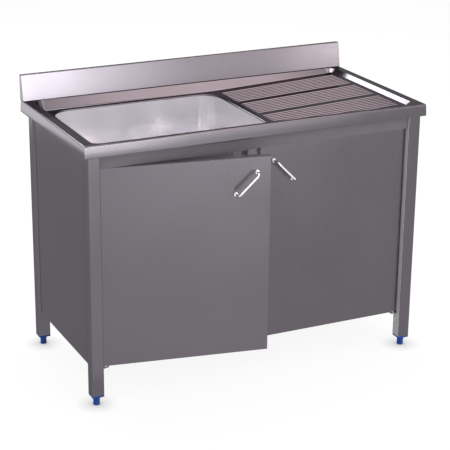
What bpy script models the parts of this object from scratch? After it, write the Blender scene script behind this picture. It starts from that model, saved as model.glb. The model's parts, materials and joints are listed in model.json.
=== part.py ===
"""Stainless steel sink cupboard: pressed worktop with a bowl and a ribbed drainer,
splashback, four tube legs on screw feet, closed sides and two swing doors.

Metres, +Z up, floor at z = 0, the front faces -Y.
"""
import math

import bmesh
import bpy
from mathutils import Matrix, Vector

# Overall
UNIT_WIDTH = 1.200
UNIT_DEPTH = 0.600
RIM_HEIGHT = 0.866
GAP = 0.0003
MERGE = 0.00001
CUT_REACH = 0.020
EDGE_ANGLE = math.radians(30.0)
SMOOTH_ANGLE = math.radians(40.0)
SAME_WAY = 0.5

# Worktop sheet
SHEET = 0.0015
SKIRT_HEIGHT = 0.040
SKIRT_EDGE_RADIUS = 0.003
SKIRT_EDGE_STEPS = 3
RIM_SIDE = 0.032
RIM_FRONT = 0.020
RIM_BACK = 0.010
RECESS_DEPTH = 0.032
RECESS_RADIUS = 0.035
RECESS_DRAFT = 0.018
DRAINER_END_DEPTH = 0.012
DRAINER_BOWL_MARGIN = 0.016
CORNER_STEPS = 6

# Pressed ribs of the drainer
RIB_GROUPS = 3
RIBS_PER_GROUP = 8
RIB_PITCH = 0.0168
RIB_WIDTH = 0.0095
RIB_HEIGHT = 0.0030
RIB_CROWN_WIDTH = 0.0060
RIB_GROUP_GAP = 0.028
RIB_BOWL_MARGIN = 0.024
RIB_END_MARGIN = 0.012
RIB_END_STEPS = 4

# Splashback
SPLASH_HEIGHT = 0.085
SPLASH_FOOT = 0.030
SPLASH_TOP = 0.015
SPLASH_EDGE_RADIUS = 0.0015
SPLASH_EDGE_STEPS = 2

# Bowl
BOWL_LENGTH = 0.595
BOWL_DEPTH = 0.300
BOWL_RADIUS = 0.065
BOWL_LEFT_MARGIN = 0.0755
BOWL_BACK_MARGIN = 0.078
BOWL_FRONT_MARGIN = 0.072
BOWL_LIP = 0.010
BOWL_EDGE_RADIUS = 0.004
BOWL_EDGE_STEPS = 3
BOWL_DRAFT = 0.008
BOWL_FLOOR_RADIUS = 0.025
BOWL_FLOOR_STEPS = 4

# Waste outlet
WASTE_HOLE = 0.060
WASTE_FLANGE = 0.085
WASTE_FLANGE_THICKNESS = 0.002
WASTE_DISH_DEPTH = 0.006
WASTE_WALL = 0.002
WASTE_THREAD_LENGTH = 0.045
WASTE_LEDGE = 0.006
GRID_THICKNESS = 0.002
GRID_HOLE = 0.008
GRID_HOLE_CIRCLE = 0.030
GRID_HOLES = 8
GASKET_DIAMETER = 0.080
GASKET_THICKNESS = 0.003
NUT_DIAMETER = 0.086
NUT_THICKNESS = 0.010
TAIL_DIAMETER = 0.040
TAIL_LENGTH = 0.075
TAIL_COLLAR_THICKNESS = 0.004
TAIL_NUT_HEIGHT = 0.022
TAIL_NUT_WALL = 0.004
ROUND_STEPS = 24

# Legs and feet
LEG_SIDE = 0.040
LEG_WALL = 0.0015
LEG_EDGE_RADIUS = 0.003
LEG_EDGE_STEPS = 2
LEG_SIDE_INSET = 0.015
LEG_FRONT_INSET = 0.011
LEG_BACK_INSET = 0.036
LEG_FLOOR_GAP = 0.036
INSERT_FLANGE_HEIGHT = 0.006
INSERT_PLUG_HEIGHT = 0.030
INSERT_EDGE_RADIUS = 0.0025
FOOT_TOP_DIAMETER = 0.0245
FOOT_WAIST_DIAMETER = 0.0205
FOOT_BASE_DIAMETER = 0.0220
FOOT_BASE_HEIGHT = 0.0085
FOOT_EDGE = 0.0015
STEM_DIAMETER = 0.010
STEM_LENGTH = 0.062
FOOT_STEPS = 20

# Top rails
RAIL_SHEET = 0.0015
RAIL_HEIGHT = 0.046
FRONT_RAIL_SETBACK = 0.010
FRONT_RAIL_DEPTH = 0.035
BACK_RAIL_DEPTH = 0.025

# Side, back and floor panels
PANEL_SHEET = 0.001
PANEL_RETURN = 0.018
PANEL_EDGE_RADIUS = 0.002
PANEL_EDGE_STEPS = 2
SIDE_PANEL_SETBACK = 0.005
BACK_PANEL_SETBACK = 0.006
PANEL_FLOOR_GAP = 0.130
SHELF_HEIGHT = 0.172
SHELF_RETURN = 0.040
SHELF_DOOR_CLEARANCE = 0.0015

# Stiffeners under the drainer
STIFFENER_COUNT = 2
STIFFENER_WIDTH = 0.040
STIFFENER_HEIGHT = 0.025

# Doors
DOOR_SHEET = 0.001
DOOR_THICKNESS = 0.018
DOOR_SETBACK = 0.0185
DOOR_FLOOR_GAP = 0.1265
DOOR_RAIL_GAP = 0.004
DOOR_LEG_GAP = 0.0045
DOOR_MEETING_X = 0.0055
DOOR_MEETING_GAP = 0.003
DOOR_EDGE_RADIUS = 0.0015
DOOR_EDGE_STEPS = 2
LEFT_DOOR_AJAR = math.radians(10.0)

# Door pivots
PIVOT_INSET = 0.010
PIN_DIAMETER = 0.008
PIN_REACH = 0.009
PIN_SHANK = 0.020
PIN_COLLAR_DIAMETER = 0.013
PIN_COLLAR_THICKNESS = 0.003
BUSH_DIAMETER = 0.012
BUSH_FLANGE_DIAMETER = 0.016
BUSH_OVERRUN = 0.003
TAB_THICKNESS = 0.003
TAB_LENGTH = 0.024
TAB_WIDTH = 0.020
TAB_DOOR_GAP = 0.003
PIVOT_STEPS = 16

# Door handles
HANDLE_CENTRES = 0.096
HANDLE_WIRE = 0.008
HANDLE_PROJECTION = 0.036
HANDLE_BEND = 0.014
HANDLE_EDGE_DISTANCE = 0.079
HANDLE_TOP_DISTANCE = 0.0815
HANDLE_TILT = math.radians(45.0)
HANDLE_BEND_STEPS = 5
HANDLE_WIRE_STEPS = 2
ROSETTE_DIAMETER = 0.014
ROSETTE_HEIGHT = 0.005
ROSETTE_SOCKET_FLOOR = 0.0022
ROSETTE_EDGE = 0.0017
ROSETTE_STEPS = 16

# Magnetic catches
CATCH_LENGTH = 0.046
CATCH_DEPTH = 0.014
CATCH_HEIGHT = 0.015
CATCH_EDGE_RADIUS = 0.0015
CATCH_EDGE_STEPS = 1
CATCH_MEETING_DISTANCE = 0.060
STRIKE_LENGTH = 0.036
STRIKE_HEIGHT = 0.012
STRIKE_THICKNESS = 0.0012

# Levels and planes that several pieces share
LEFT = -UNIT_WIDTH / 2
RIGHT = UNIT_WIDTH / 2
FRONT = -UNIT_DEPTH / 2
BACK = UNIT_DEPTH / 2
DECK_Z = RIM_HEIGHT - RECESS_DEPTH
FRAME_TOP = DECK_Z - SHEET - GAP
RAIL_BOTTOM = FRAME_TOP - RAIL_HEIGHT
LEG_OUTER_X = RIGHT - LEG_SIDE_INSET
LEG_INNER_X = LEG_OUTER_X - LEG_SIDE
FRONT_LEG_FACE = FRONT + LEG_FRONT_INSET
FRONT_LEG_REAR = FRONT_LEG_FACE + LEG_SIDE
BACK_LEG_FACE = BACK - LEG_BACK_INSET
BACK_LEG_FRONT = BACK_LEG_FACE - LEG_SIDE
RECESS_LEFT = LEFT + RIM_SIDE
RECESS_RIGHT = RIGHT - RIM_SIDE
RECESS_FRONT = FRONT + RIM_FRONT
RECESS_BACK = BACK - SPLASH_FOOT - RIM_BACK
BOWL_LEFT = LEFT + BOWL_LEFT_MARGIN
BOWL_RIGHT = BOWL_LEFT + BOWL_LENGTH
BOWL_WIDTH = UNIT_DEPTH - BOWL_FRONT_MARGIN - BOWL_BACK_MARGIN
BOWL_BACK = BACK - BOWL_BACK_MARGIN
BOWL_FRONT = BOWL_BACK - BOWL_WIDTH
BOWL_X = (BOWL_LEFT + BOWL_RIGHT) / 2
BOWL_Y = (BOWL_FRONT + BOWL_BACK) / 2
BOWL_FLOOR_Z = DECK_Z - BOWL_DEPTH
SLOPE_START = BOWL_RIGHT + DRAINER_BOWL_MARGIN
SLOPE_END = RECESS_RIGHT - RECESS_DRAFT
SLOPE = (RECESS_DEPTH - DRAINER_END_DEPTH) / (SLOPE_END - SLOPE_START)
SLOPE_ANGLE = math.atan(SLOPE)
DOOR_FACE = FRONT_LEG_FACE + DOOR_SETBACK
DOOR_TOP = RAIL_BOTTOM - DOOR_RAIL_GAP
PIVOT_Y = DOOR_FACE + DOOR_THICKNESS / 2
PIVOT_X = LEG_INNER_X - DOOR_LEG_GAP - PIVOT_INSET
DOOR_SWEEP_Y = PIVOT_Y + math.hypot(PIVOT_INSET, DOOR_THICKNESS / 2)


def clear_scene():
    for old in list(bpy.data.objects):
        bpy.data.objects.remove(old, do_unlink=True)


def new_collection(name):
    group = bpy.data.collections.new(name)
    bpy.context.scene.collection.children.link(group)
    return group


clear_scene()
PARTS = new_collection("sink_unit")
CUTTERS = new_collection("cutters")


def new_material(name, colour, roughness, metallic):
    material = bpy.data.materials.new(name)
    material.use_nodes = True
    shader = material.node_tree.nodes["Principled BSDF"]
    shader.inputs["Base Color"].default_value = (*colour, 1.0)
    shader.inputs["Roughness"].default_value = roughness
    shader.inputs["Metallic"].default_value = metallic
    return material


SATIN_STEEL = new_material("satin_steel", (0.46, 0.45, 0.46), 0.32, 1.0)
BRIGHT_STEEL = new_material("bright_steel", (0.62, 0.61, 0.62), 0.18, 1.0)
CHROME = new_material("chrome", (0.85, 0.85, 0.86), 0.06, 1.0)
BLUE_PLASTIC = new_material("blue_plastic", (0.03, 0.08, 0.40), 0.40, 0.0)
BLACK_RUBBER = new_material("black_rubber", (0.02, 0.02, 0.02), 0.80, 0.0)
WHITE_NYLON = new_material("white_nylon", (0.80, 0.80, 0.78), 0.50, 0.0)
GREY_PLASTIC = new_material("grey_plastic", (0.18, 0.18, 0.19), 0.50, 0.0)


def new_empty(name, place=(0, 0, 0), parent=None):
    empty = bpy.data.objects.new(name, None)
    empty.location = place
    empty.parent = parent
    PARTS.objects.link(empty)
    return empty


ROOT = new_empty("sink_unit_origin")


def mesh_from(form, name):
    mesh = bpy.data.meshes.new(name)
    bmesh.ops.recalc_face_normals(form, faces=form.faces)
    form.to_mesh(mesh)
    form.free()
    return mesh


def add_part(name, mesh, material, place=(0, 0, 0), parent=None, smooth_angle=None):
    part = bpy.data.objects.new(name, mesh)
    part.location = place
    part.parent = parent or ROOT
    mesh.materials.append(material)
    if smooth_angle is not None:
        mesh.shade_smooth()
        mesh.set_sharp_from_angle(angle=smooth_angle)
    PARTS.objects.link(part)
    return part


def add_cutter(name, mesh, place=(0, 0, 0), parent=None):
    cutter = bpy.data.objects.new(name, mesh)
    cutter.location = place
    cutter.parent = parent or ROOT
    cutter.hide_render = True
    cutter.display_type = "WIRE"
    CUTTERS.objects.link(cutter)
    return cutter


def combine(part, other, operation):
    modifier = part.modifiers.new(operation.lower() + "_" + other.name, "BOOLEAN")
    modifier.operation = operation
    modifier.solver = "EXACT"
    modifier.object = other
    return modifier


def round_edges(part, radius, steps):
    modifier = part.modifiers.new("edges", "BEVEL")
    modifier.width = radius
    modifier.segments = steps
    modifier.limit_method = "ANGLE"
    modifier.angle_limit = EDGE_ANGLE
    return modifier


def give_wall(part, wall):
    modifier = part.modifiers.new("wall", "SOLIDIFY")
    modifier.thickness = wall
    modifier.offset = -1.0
    modifier.use_even_offset = True
    return modifier


def block(low, high):
    low, high = Vector(low), Vector(high)
    form = bmesh.new()
    bmesh.ops.create_cube(form, size=1.0)
    bmesh.ops.scale(form, vec=high - low, verts=form.verts)
    bmesh.ops.translate(form, vec=(low + high) / 2, verts=form.verts)
    return form


def block_mesh(name, low, high):
    return mesh_from(block(low, high), name)


def open_block_mesh(name, low, high, open_sides):
    """A block without the faces whose outward directions are in open_sides."""
    form = block(low, high)
    gone = [face for face in form.faces
            if any(face.normal.dot(Vector(side)) > SAME_WAY for side in open_sides)]
    bmesh.ops.delete(form, geom=gone, context="FACES_ONLY")
    return mesh_from(form, name)


def cylinder_mesh(name, diameter, low, high, steps=ROUND_STEPS):
    form = bmesh.new()
    bmesh.ops.create_cone(form, cap_ends=True, segments=steps, radius1=diameter / 2,
                          radius2=diameter / 2, depth=high - low)
    bmesh.ops.translate(form, vec=(0, 0, (low + high) / 2), verts=form.verts)
    return mesh_from(form, name)


def turned(name, profile, material, place, parent=None, closed=False, steps=ROUND_STEPS):
    """A profile of (radius, height) points, run down its outer side, turned about Z."""
    form = bmesh.new()
    points = [form.verts.new((radius, 0, height)) for radius, height in profile]
    for start, end in zip(points, points[1:]):
        form.edges.new((start, end))
    if closed:
        form.edges.new((points[-1], points[0]))
    mesh = bpy.data.meshes.new(name)
    form.to_mesh(mesh)
    form.free()
    part = add_part(name, mesh, material, place, parent)
    screw = part.modifiers.new("turn", "SCREW")
    screw.steps = steps
    screw.render_steps = steps
    screw.use_merge_vertices = True
    screw.merge_threshold = MERGE
    screw.use_smooth_shade = True
    return part


def rounded_outline(left, right, front, back, radius, steps=CORNER_STEPS):
    """Corner arcs of a rounded rectangle as (x, y) points, counter-clockwise from above."""
    points = []
    for corner_x, corner_y, start in ((right - radius, back - radius, 0.0),
                                      (left + radius, back - radius, 0.5),
                                      (left + radius, front + radius, 1.0),
                                      (right - radius, front + radius, 1.5)):
        for step in range(steps + 1):
            angle = math.pi * (start + 0.5 * step / steps)
            points.append((corner_x + radius * math.cos(angle), corner_y + radius * math.sin(angle)))
    return points


def loft(form, rings):
    """Joins rings of equally many points with walls, and returns the vertex rings."""
    rows = [[form.verts.new(point) for point in ring] for ring in rings]
    for lower, upper in zip(rows, rows[1:]):
        for index in range(len(lower)):
            following = (index + 1) % len(lower)
            form.faces.new((lower[index], lower[following], upper[following], upper[index]))
    return rows


def at_height(outline, height):
    return [(x, y, height) for x, y in outline]


def deck_height(x):
    return DECK_Z + max(0.0, x - SLOPE_START) * SLOPE


# Worktop

def recess_outline(grow):
    return rounded_outline(RECESS_LEFT - grow, RECESS_RIGHT + grow, RECESS_FRONT - grow,
                           RECESS_BACK + grow, RECESS_RADIUS + grow)


def recess_form(grow):
    """The recess of the worktop as a solid, grown outwards and downwards by grow."""
    floor = DECK_Z - grow
    flare = RECESS_DRAFT * CUT_REACH / RECESS_DEPTH
    form = bmesh.new()
    rows = loft(form, [at_height(recess_outline(grow - RECESS_DRAFT), floor),
                       at_height(recess_outline(grow + flare), floor + RECESS_DEPTH + CUT_REACH)])
    form.faces.new(rows[0])
    form.faces.new(rows[-1])
    bottom = [face for face in form.faces if all(vert in rows[0] for vert in face.verts)]
    edges = list({edge for face in bottom for edge in face.edges})
    bmesh.ops.bisect_plane(form, geom=bottom + edges + rows[0], plane_co=(SLOPE_START, 0, 0),
                           plane_no=(1, 0, 0), dist=MERGE)
    for vert in form.verts:
        if vert.co.z < floor + MERGE:
            vert.co.z += deck_height(vert.co.x) - DECK_Z
    return form


def rib_rows():
    """Y of each rib's centre line, from the back group to the front one."""
    group_width = (RIBS_PER_GROUP - 1) * RIB_PITCH + RIB_WIDTH
    field = RIB_GROUPS * group_width + (RIB_GROUPS - 1) * RIB_GROUP_GAP
    first = (RECESS_FRONT + RECESS_BACK + field - RIB_WIDTH) / 2
    return [first - group * (group_width + RIB_GROUP_GAP) - rib * RIB_PITCH
            for group in range(RIB_GROUPS) for rib in range(RIBS_PER_GROUP)]


def rib_outline(width, shrink, y):
    start = BOWL_RIGHT + RIB_BOWL_MARGIN + shrink
    end = SLOPE_END - RIB_END_MARGIN - shrink
    half = width / 2
    points = []
    for centre, begin in ((end - half, -0.5), (start + half, 0.5)):
        for step in range(RIB_END_STEPS + 1):
            angle = math.pi * (begin + step / RIB_END_STEPS)
            points.append((centre + half * math.cos(angle), y + half * math.sin(angle)))
    return points


def rib_form(wall, sink):
    """All pressed ribs, narrowed and lowered by wall, with their feet sunk into the deck."""
    form = bmesh.new()
    side = (RIB_WIDTH - RIB_CROWN_WIDTH) / 2
    flare = side * sink / RIB_HEIGHT
    for y in rib_rows():
        foot = rib_outline(RIB_WIDTH - 2 * wall + 2 * flare, wall - flare, y)
        crown = rib_outline(RIB_CROWN_WIDTH - 2 * wall, wall + side, y)
        rows = loft(form, [[(x, v, deck_height(x) - wall - sink) for x, v in foot],
                           [(x, v, deck_height(x) - wall + RIB_HEIGHT) for x, v in crown]])
        form.faces.new(rows[0])
        form.faces.new(rows[-1])
    return form


def make_worktop():
    low = RIM_HEIGHT - SKIRT_HEIGHT
    sheet = block_mesh("worktop", (LEFT, FRONT, low), (RIGHT, BACK, RIM_HEIGHT))
    worktop = add_part("worktop", sheet, SATIN_STEEL)
    bevel = round_edges(worktop, SKIRT_EDGE_RADIUS, SKIRT_EDGE_STEPS)
    bevel.limit_method = "WEIGHT"
    weights = worktop.data.attributes.new("bevel_weight_edge", "FLOAT", "EDGE")
    for edge in worktop.data.edges:
        ends = [worktop.data.vertices[index].co.z for index in edge.vertices]
        weights.data[edge.index].value = 1.0 if max(ends) > RIM_HEIGHT - MERGE else 0.0
    recess = add_cutter("recess", mesh_from(recess_form(0.0), "recess"))
    combine(worktop, recess, "DIFFERENCE")
    ribs = add_cutter("ribs", mesh_from(rib_form(0.0, SHEET / 2), "ribs"))
    combine(worktop, ribs, "UNION")
    inside = block_mesh("worktop_core", (LEFT + SHEET, FRONT + SHEET, low - CUT_REACH),
                        (RIGHT - SHEET, BACK - SHEET, RIM_HEIGHT - SHEET))
    core = add_cutter("worktop_core", inside)
    combine(core, add_cutter("recess_under", mesh_from(recess_form(SHEET), "recess_under")), "DIFFERENCE")
    combine(core, add_cutter("ribs_under", mesh_from(rib_form(SHEET, SHEET), "ribs_under")), "UNION")
    combine(worktop, core, "DIFFERENCE")
    opening = rounded_outline(BOWL_LEFT - BOWL_LIP, BOWL_RIGHT + BOWL_LIP, BOWL_FRONT - BOWL_LIP,
                              BOWL_BACK + BOWL_LIP, BOWL_RADIUS + BOWL_LIP)
    form = bmesh.new()
    rows = loft(form, [at_height(opening, low), at_height(opening, RIM_HEIGHT)])
    form.faces.new(rows[0])
    form.faces.new(rows[1])
    combine(worktop, add_cutter("bowl_opening", mesh_from(form, "bowl_opening")), "DIFFERENCE")


def trapezoid_form(left, right, inset, low, high):
    """The splashback's section, pushed inwards by inset, run from left to right."""
    lean = (SPLASH_FOOT - SPLASH_TOP) / SPLASH_HEIGHT
    rise = low - RIM_HEIGHT - GAP
    fall = high - RIM_HEIGHT - GAP
    rings = []
    for x in (left, right):
        rings.append([(x, BACK - SPLASH_FOOT + lean * rise + inset, low), (x, BACK - inset, low),
                      (x, BACK - inset, high), (x, BACK - SPLASH_FOOT + lean * fall + inset, high)])
    form = bmesh.new()
    rows = loft(form, rings)
    form.faces.new(rows[0])
    form.faces.new(rows[1])
    return form


def make_splashback():
    low = RIM_HEIGHT + GAP
    high = low + SPLASH_HEIGHT
    sheet = mesh_from(trapezoid_form(LEFT, RIGHT, 0.0, low, high), "splashback")
    splashback = add_part("splashback", sheet, SATIN_STEEL)
    bevel = round_edges(splashback, SPLASH_EDGE_RADIUS, SPLASH_EDGE_STEPS)
    bevel.limit_method = "WEIGHT"
    weights = splashback.data.attributes.new("bevel_weight_edge", "FLOAT", "EDGE")
    for edge in splashback.data.edges:
        ends = [splashback.data.vertices[index].co.z for index in edge.vertices]
        weights.data[edge.index].value = 1.0 if min(ends) > high - MERGE else 0.0
    hollow = trapezoid_form(LEFT + SHEET, RIGHT - SHEET, SHEET, low - CUT_REACH, high - SHEET)
    combine(splashback, add_cutter("splash_hollow", mesh_from(hollow, "splash_hollow")), "DIFFERENCE")


# Bowl and waste outlet

def make_bowl():
    rings = []

    def ring(inset, drop):
        rings.append(at_height(rounded_outline(BOWL_LEFT + inset, BOWL_RIGHT - inset, BOWL_FRONT + inset,
                                               BOWL_BACK - inset, BOWL_RADIUS - inset), DECK_Z - drop))

    ring(GAP - BOWL_LIP, 0.0)
    for step in range(BOWL_EDGE_STEPS + 1):
        angle = 0.5 * math.pi * step / BOWL_EDGE_STEPS
        ring(BOWL_EDGE_RADIUS * (math.sin(angle) - 1), BOWL_EDGE_RADIUS * (1 - math.cos(angle)))
    for step in range(BOWL_FLOOR_STEPS + 1):
        angle = 0.5 * math.pi * step / BOWL_FLOOR_STEPS
        ring(BOWL_DRAFT + BOWL_FLOOR_RADIUS * (1 - math.cos(angle)),
             BOWL_DEPTH - BOWL_FLOOR_RADIUS * (1 - math.sin(angle)))
    form = bmesh.new()
    rows = loft(form, rings)
    form.faces.new(rows[-1])
    bmesh.ops.recalc_face_normals(form, faces=form.faces)
    floor_face = next(face for face in form.faces if len(face.verts) == len(rows[-1]))
    if floor_face.normal.z > 0:
        bmesh.ops.reverse_faces(form, faces=form.faces)
    mesh = bpy.data.meshes.new("bowl")
    form.to_mesh(mesh)
    form.free()
    bowl = add_part("bowl", mesh, BRIGHT_STEEL, smooth_angle=SMOOTH_ANGLE)
    wall = give_wall(bowl, SHEET)
    wall.offset = 1.0
    hole = add_cutter("waste_hole", cylinder_mesh("waste_hole", WASTE_HOLE, BOWL_FLOOR_Z - CUT_REACH,
                                                  BOWL_FLOOR_Z + CUT_REACH), (BOWL_X, BOWL_Y, 0))
    combine(bowl, hole, "DIFFERENCE")


def make_waste():
    centre = (BOWL_X, BOWL_Y, BOWL_FLOOR_Z)
    rim = WASTE_FLANGE / 2
    outer = WASTE_HOLE / 2 - GAP
    inner = outer - WASTE_WALL
    top = GAP + WASTE_FLANGE_THICKNESS
    foot = -WASTE_THREAD_LENGTH
    ledge = -WASTE_DISH_DEPTH
    turned("waste_flange", [(inner, top), (rim - WASTE_FLANGE_THICKNESS, top), (rim, GAP), (outer, GAP),
                            (outer, foot), (inner, foot), (inner, ledge - WASTE_LEDGE / 2),
                            (inner - WASTE_LEDGE, ledge - WASTE_LEDGE / 2), (inner - WASTE_LEDGE, ledge),
                            (inner, ledge)], BRIGHT_STEEL, centre, closed=True)
    grid_low = BOWL_FLOOR_Z + ledge + GAP
    disc = cylinder_mesh("waste_grid", 2 * (inner - GAP), grid_low, grid_low + GRID_THICKNESS)
    grid = add_part("waste_grid", disc, BRIGHT_STEEL, (BOWL_X, BOWL_Y, 0))
    holes = bmesh.new()
    spots = [(0.0, 0.0)]
    for index in range(GRID_HOLES):
        angle = 2 * math.pi * index / GRID_HOLES
        spots.append((GRID_HOLE_CIRCLE / 2 * math.cos(angle), GRID_HOLE_CIRCLE / 2 * math.sin(angle)))
    for x, y in spots:
        bmesh.ops.create_cone(holes, cap_ends=True, segments=PIVOT_STEPS, radius1=GRID_HOLE / 2,
                              radius2=GRID_HOLE / 2, depth=CUT_REACH,
                              matrix=Matrix.Translation((x, y, grid_low)))
    cutter = add_cutter("grid_holes", mesh_from(holes, "grid_holes"), (BOWL_X, BOWL_Y, 0))
    combine(grid, cutter, "DIFFERENCE")
    bore = outer + GAP
    under = -SHEET - GAP
    gasket = under - GASKET_THICKNESS
    turned("waste_gasket", [(bore, under), (GASKET_DIAMETER / 2, under), (GASKET_DIAMETER / 2, gasket),
                            (bore, gasket)], BLACK_RUBBER, centre, closed=True)
    nut_top = gasket - GAP
    nut = NUT_DIAMETER / 2
    turned("waste_nut", [(bore, nut_top), (nut, nut_top), (nut, nut_top - NUT_THICKNESS),
                         (bore, nut_top - NUT_THICKNESS)], WHITE_NYLON, centre, closed=True)
    tail = TAIL_DIAMETER / 2
    tail_top = foot - GAP
    collar = tail_top - TAIL_COLLAR_THICKNESS
    turned("waste_tail", [(tail - WASTE_WALL, tail_top), (outer, tail_top), (outer, collar), (tail, collar),
                          (tail, tail_top - TAIL_LENGTH), (tail - WASTE_WALL, tail_top - TAIL_LENGTH)],
           WHITE_NYLON, centre, closed=True)
    cup = bore + TAIL_NUT_WALL
    lip = collar - GAP
    floor = lip - TAIL_NUT_WALL
    turned("tail_nut", [(bore, floor + TAIL_NUT_HEIGHT), (cup, floor + TAIL_NUT_HEIGHT), (cup, floor),
                        (tail + GAP, floor), (tail + GAP, lip), (bore, lip)],
           WHITE_NYLON, centre, closed=True)


# Frame

LEG_PLACES = {
    "front_left": (-1, (FRONT_LEG_FACE + FRONT_LEG_REAR) / 2),
    "front_right": (1, (FRONT_LEG_FACE + FRONT_LEG_REAR) / 2),
    "back_left": (-1, (BACK_LEG_FACE + BACK_LEG_FRONT) / 2),
    "back_right": (1, (BACK_LEG_FACE + BACK_LEG_FRONT) / 2),
}


def make_leg(corner, side, y):
    half = LEG_SIDE / 2
    x = side * (LEG_OUTER_X - half)
    leg = add_part("leg_" + corner, open_block_mesh("leg_" + corner, (-half, -half, LEG_FLOOR_GAP),
                                                    (half, half, FRAME_TOP), ((0, 0, 1), (0, 0, -1))),
                   SATIN_STEEL, (x, y, 0))
    round_edges(leg, LEG_EDGE_RADIUS, LEG_EDGE_STEPS)
    give_wall(leg, LEG_WALL)
    flange_top = LEG_FLOOR_GAP - GAP
    flange_low = flange_top - INSERT_FLANGE_HEIGHT
    name = "foot_insert_" + corner
    insert = add_part(name, block_mesh(name, (-half, -half, flange_low), (half, half, flange_top)),
                      BLUE_PLASTIC, (x, y, 0))
    round_edges(insert, INSERT_EDGE_RADIUS, LEG_EDGE_STEPS)
    plug = half - LEG_WALL - GAP
    plug_body = block_mesh("plug_" + corner, (-plug, -plug, (flange_low + flange_top) / 2),
                           (plug, plug, flange_top + INSERT_PLUG_HEIGHT))
    plug_cutter = add_cutter("plug_" + corner, plug_body, (x, y, 0))
    round_edges(plug_cutter, INSERT_EDGE_RADIUS, LEG_EDGE_STEPS)
    combine(insert, plug_cutter, "UNION")
    bore = add_cutter("foot_bore_" + corner,
                      cylinder_mesh("foot_bore_" + corner, STEM_DIAMETER + 2 * GAP, flange_low - CUT_REACH,
                                    flange_top + INSERT_PLUG_HEIGHT + CUT_REACH, FOOT_STEPS), (x, y, 0))
    combine(insert, bore, "DIFFERENCE")
    foot_top = flange_low - GAP
    stem = STEM_DIAMETER / 2
    base = FOOT_BASE_DIAMETER / 2
    profile = [(0, foot_top + STEM_LENGTH), (stem, foot_top + STEM_LENGTH), (stem, foot_top),
               (FOOT_TOP_DIAMETER / 2, foot_top), (FOOT_WAIST_DIAMETER / 2, FOOT_BASE_HEIGHT),
               (base, FOOT_BASE_HEIGHT - FOOT_EDGE), (base, FOOT_EDGE), (base - FOOT_EDGE, 0), (0, 0)]
    turned("foot_" + corner, profile, BLUE_PLASTIC, (x, y, 0), steps=FOOT_STEPS)


def make_rails():
    reach = LEG_INNER_X - GAP
    front = FRONT_LEG_FACE + FRONT_RAIL_SETBACK
    ends = ((1, 0, 0), (-1, 0, 0))
    channel = open_block_mesh("front_rail", (-reach, front, RAIL_BOTTOM),
                              (reach, front + FRONT_RAIL_DEPTH, FRAME_TOP), ends + ((0, 1, 0),))
    rail = add_part("front_rail", channel, SATIN_STEEL)
    give_wall(rail, RAIL_SHEET)
    for side in (-1, 1):
        name = "bush_hole_" + ("left" if side < 0 else "right")
        drill = cylinder_mesh(name, BUSH_DIAMETER + 2 * GAP, RAIL_BOTTOM - CUT_REACH / 2,
                              RAIL_BOTTOM + CUT_REACH, PIVOT_STEPS)
        combine(rail, add_cutter(name, drill, (side * PIVOT_X, PIVOT_Y, 0)), "DIFFERENCE")
    back = BACK_LEG_FACE
    channel = open_block_mesh("back_rail", (-reach, back - BACK_RAIL_DEPTH, RAIL_BOTTOM),
                              (reach, back, FRAME_TOP), ends + ((0, -1, 0),))
    give_wall(add_part("back_rail", channel, SATIN_STEEL), RAIL_SHEET)


def make_panels():
    front = FRONT_LEG_REAR + GAP
    back = BACK_LEG_FRONT - GAP
    outer = LEG_OUTER_X - SIDE_PANEL_SETBACK
    inner = outer - PANEL_RETURN
    for name, low_x, high_x, side in (("side_panel_left", -outer, -inner, (1, 0, 0)),
                                      ("side_panel_right", inner, outer, (-1, 0, 0))):
        panel = add_part(name, open_block_mesh(name, (low_x, front, PANEL_FLOOR_GAP),
                                               (high_x, back, FRAME_TOP), (side,)), SATIN_STEEL)
        round_edges(panel, PANEL_EDGE_RADIUS, PANEL_EDGE_STEPS)
        give_wall(panel, PANEL_SHEET)
    reach = LEG_INNER_X - GAP
    rear = BACK_LEG_FACE - BACK_PANEL_SETBACK
    pan = open_block_mesh("back_panel", (-reach, rear - PANEL_RETURN, PANEL_FLOOR_GAP),
                          (reach, rear, RAIL_BOTTOM - GAP), ((0, -1, 0),))
    panel = add_part("back_panel", pan, SATIN_STEEL)
    round_edges(panel, PANEL_EDGE_RADIUS, PANEL_EDGE_STEPS)
    give_wall(panel, PANEL_SHEET)
    wide = inner - GAP
    shelf_front = DOOR_SWEEP_Y + SHELF_DOOR_CLEARANCE
    shelf_back = rear - PANEL_RETURN - GAP
    tray = open_block_mesh("base_shelf", (-wide, shelf_front, SHELF_HEIGHT - SHELF_RETURN),
                           (wide, shelf_back, SHELF_HEIGHT), ((0, 0, -1),))
    shelf = add_part("base_shelf", tray, SATIN_STEEL)
    round_edges(shelf, PANEL_EDGE_RADIUS, PANEL_EDGE_STEPS)
    give_wall(shelf, PANEL_SHEET)
    for side in (-1, 1):
        name = "shelf_notch_" + ("left" if side < 0 else "right")
        near, far = sorted((side * reach, side * (wide + CUT_REACH)))
        notch = block_mesh(name, (near, back, SHELF_HEIGHT - SHELF_RETURN - CUT_REACH),
                           (far, shelf_back + CUT_REACH, SHELF_HEIGHT + CUT_REACH))
        combine(shelf, add_cutter(name, notch), "DIFFERENCE")


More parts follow.
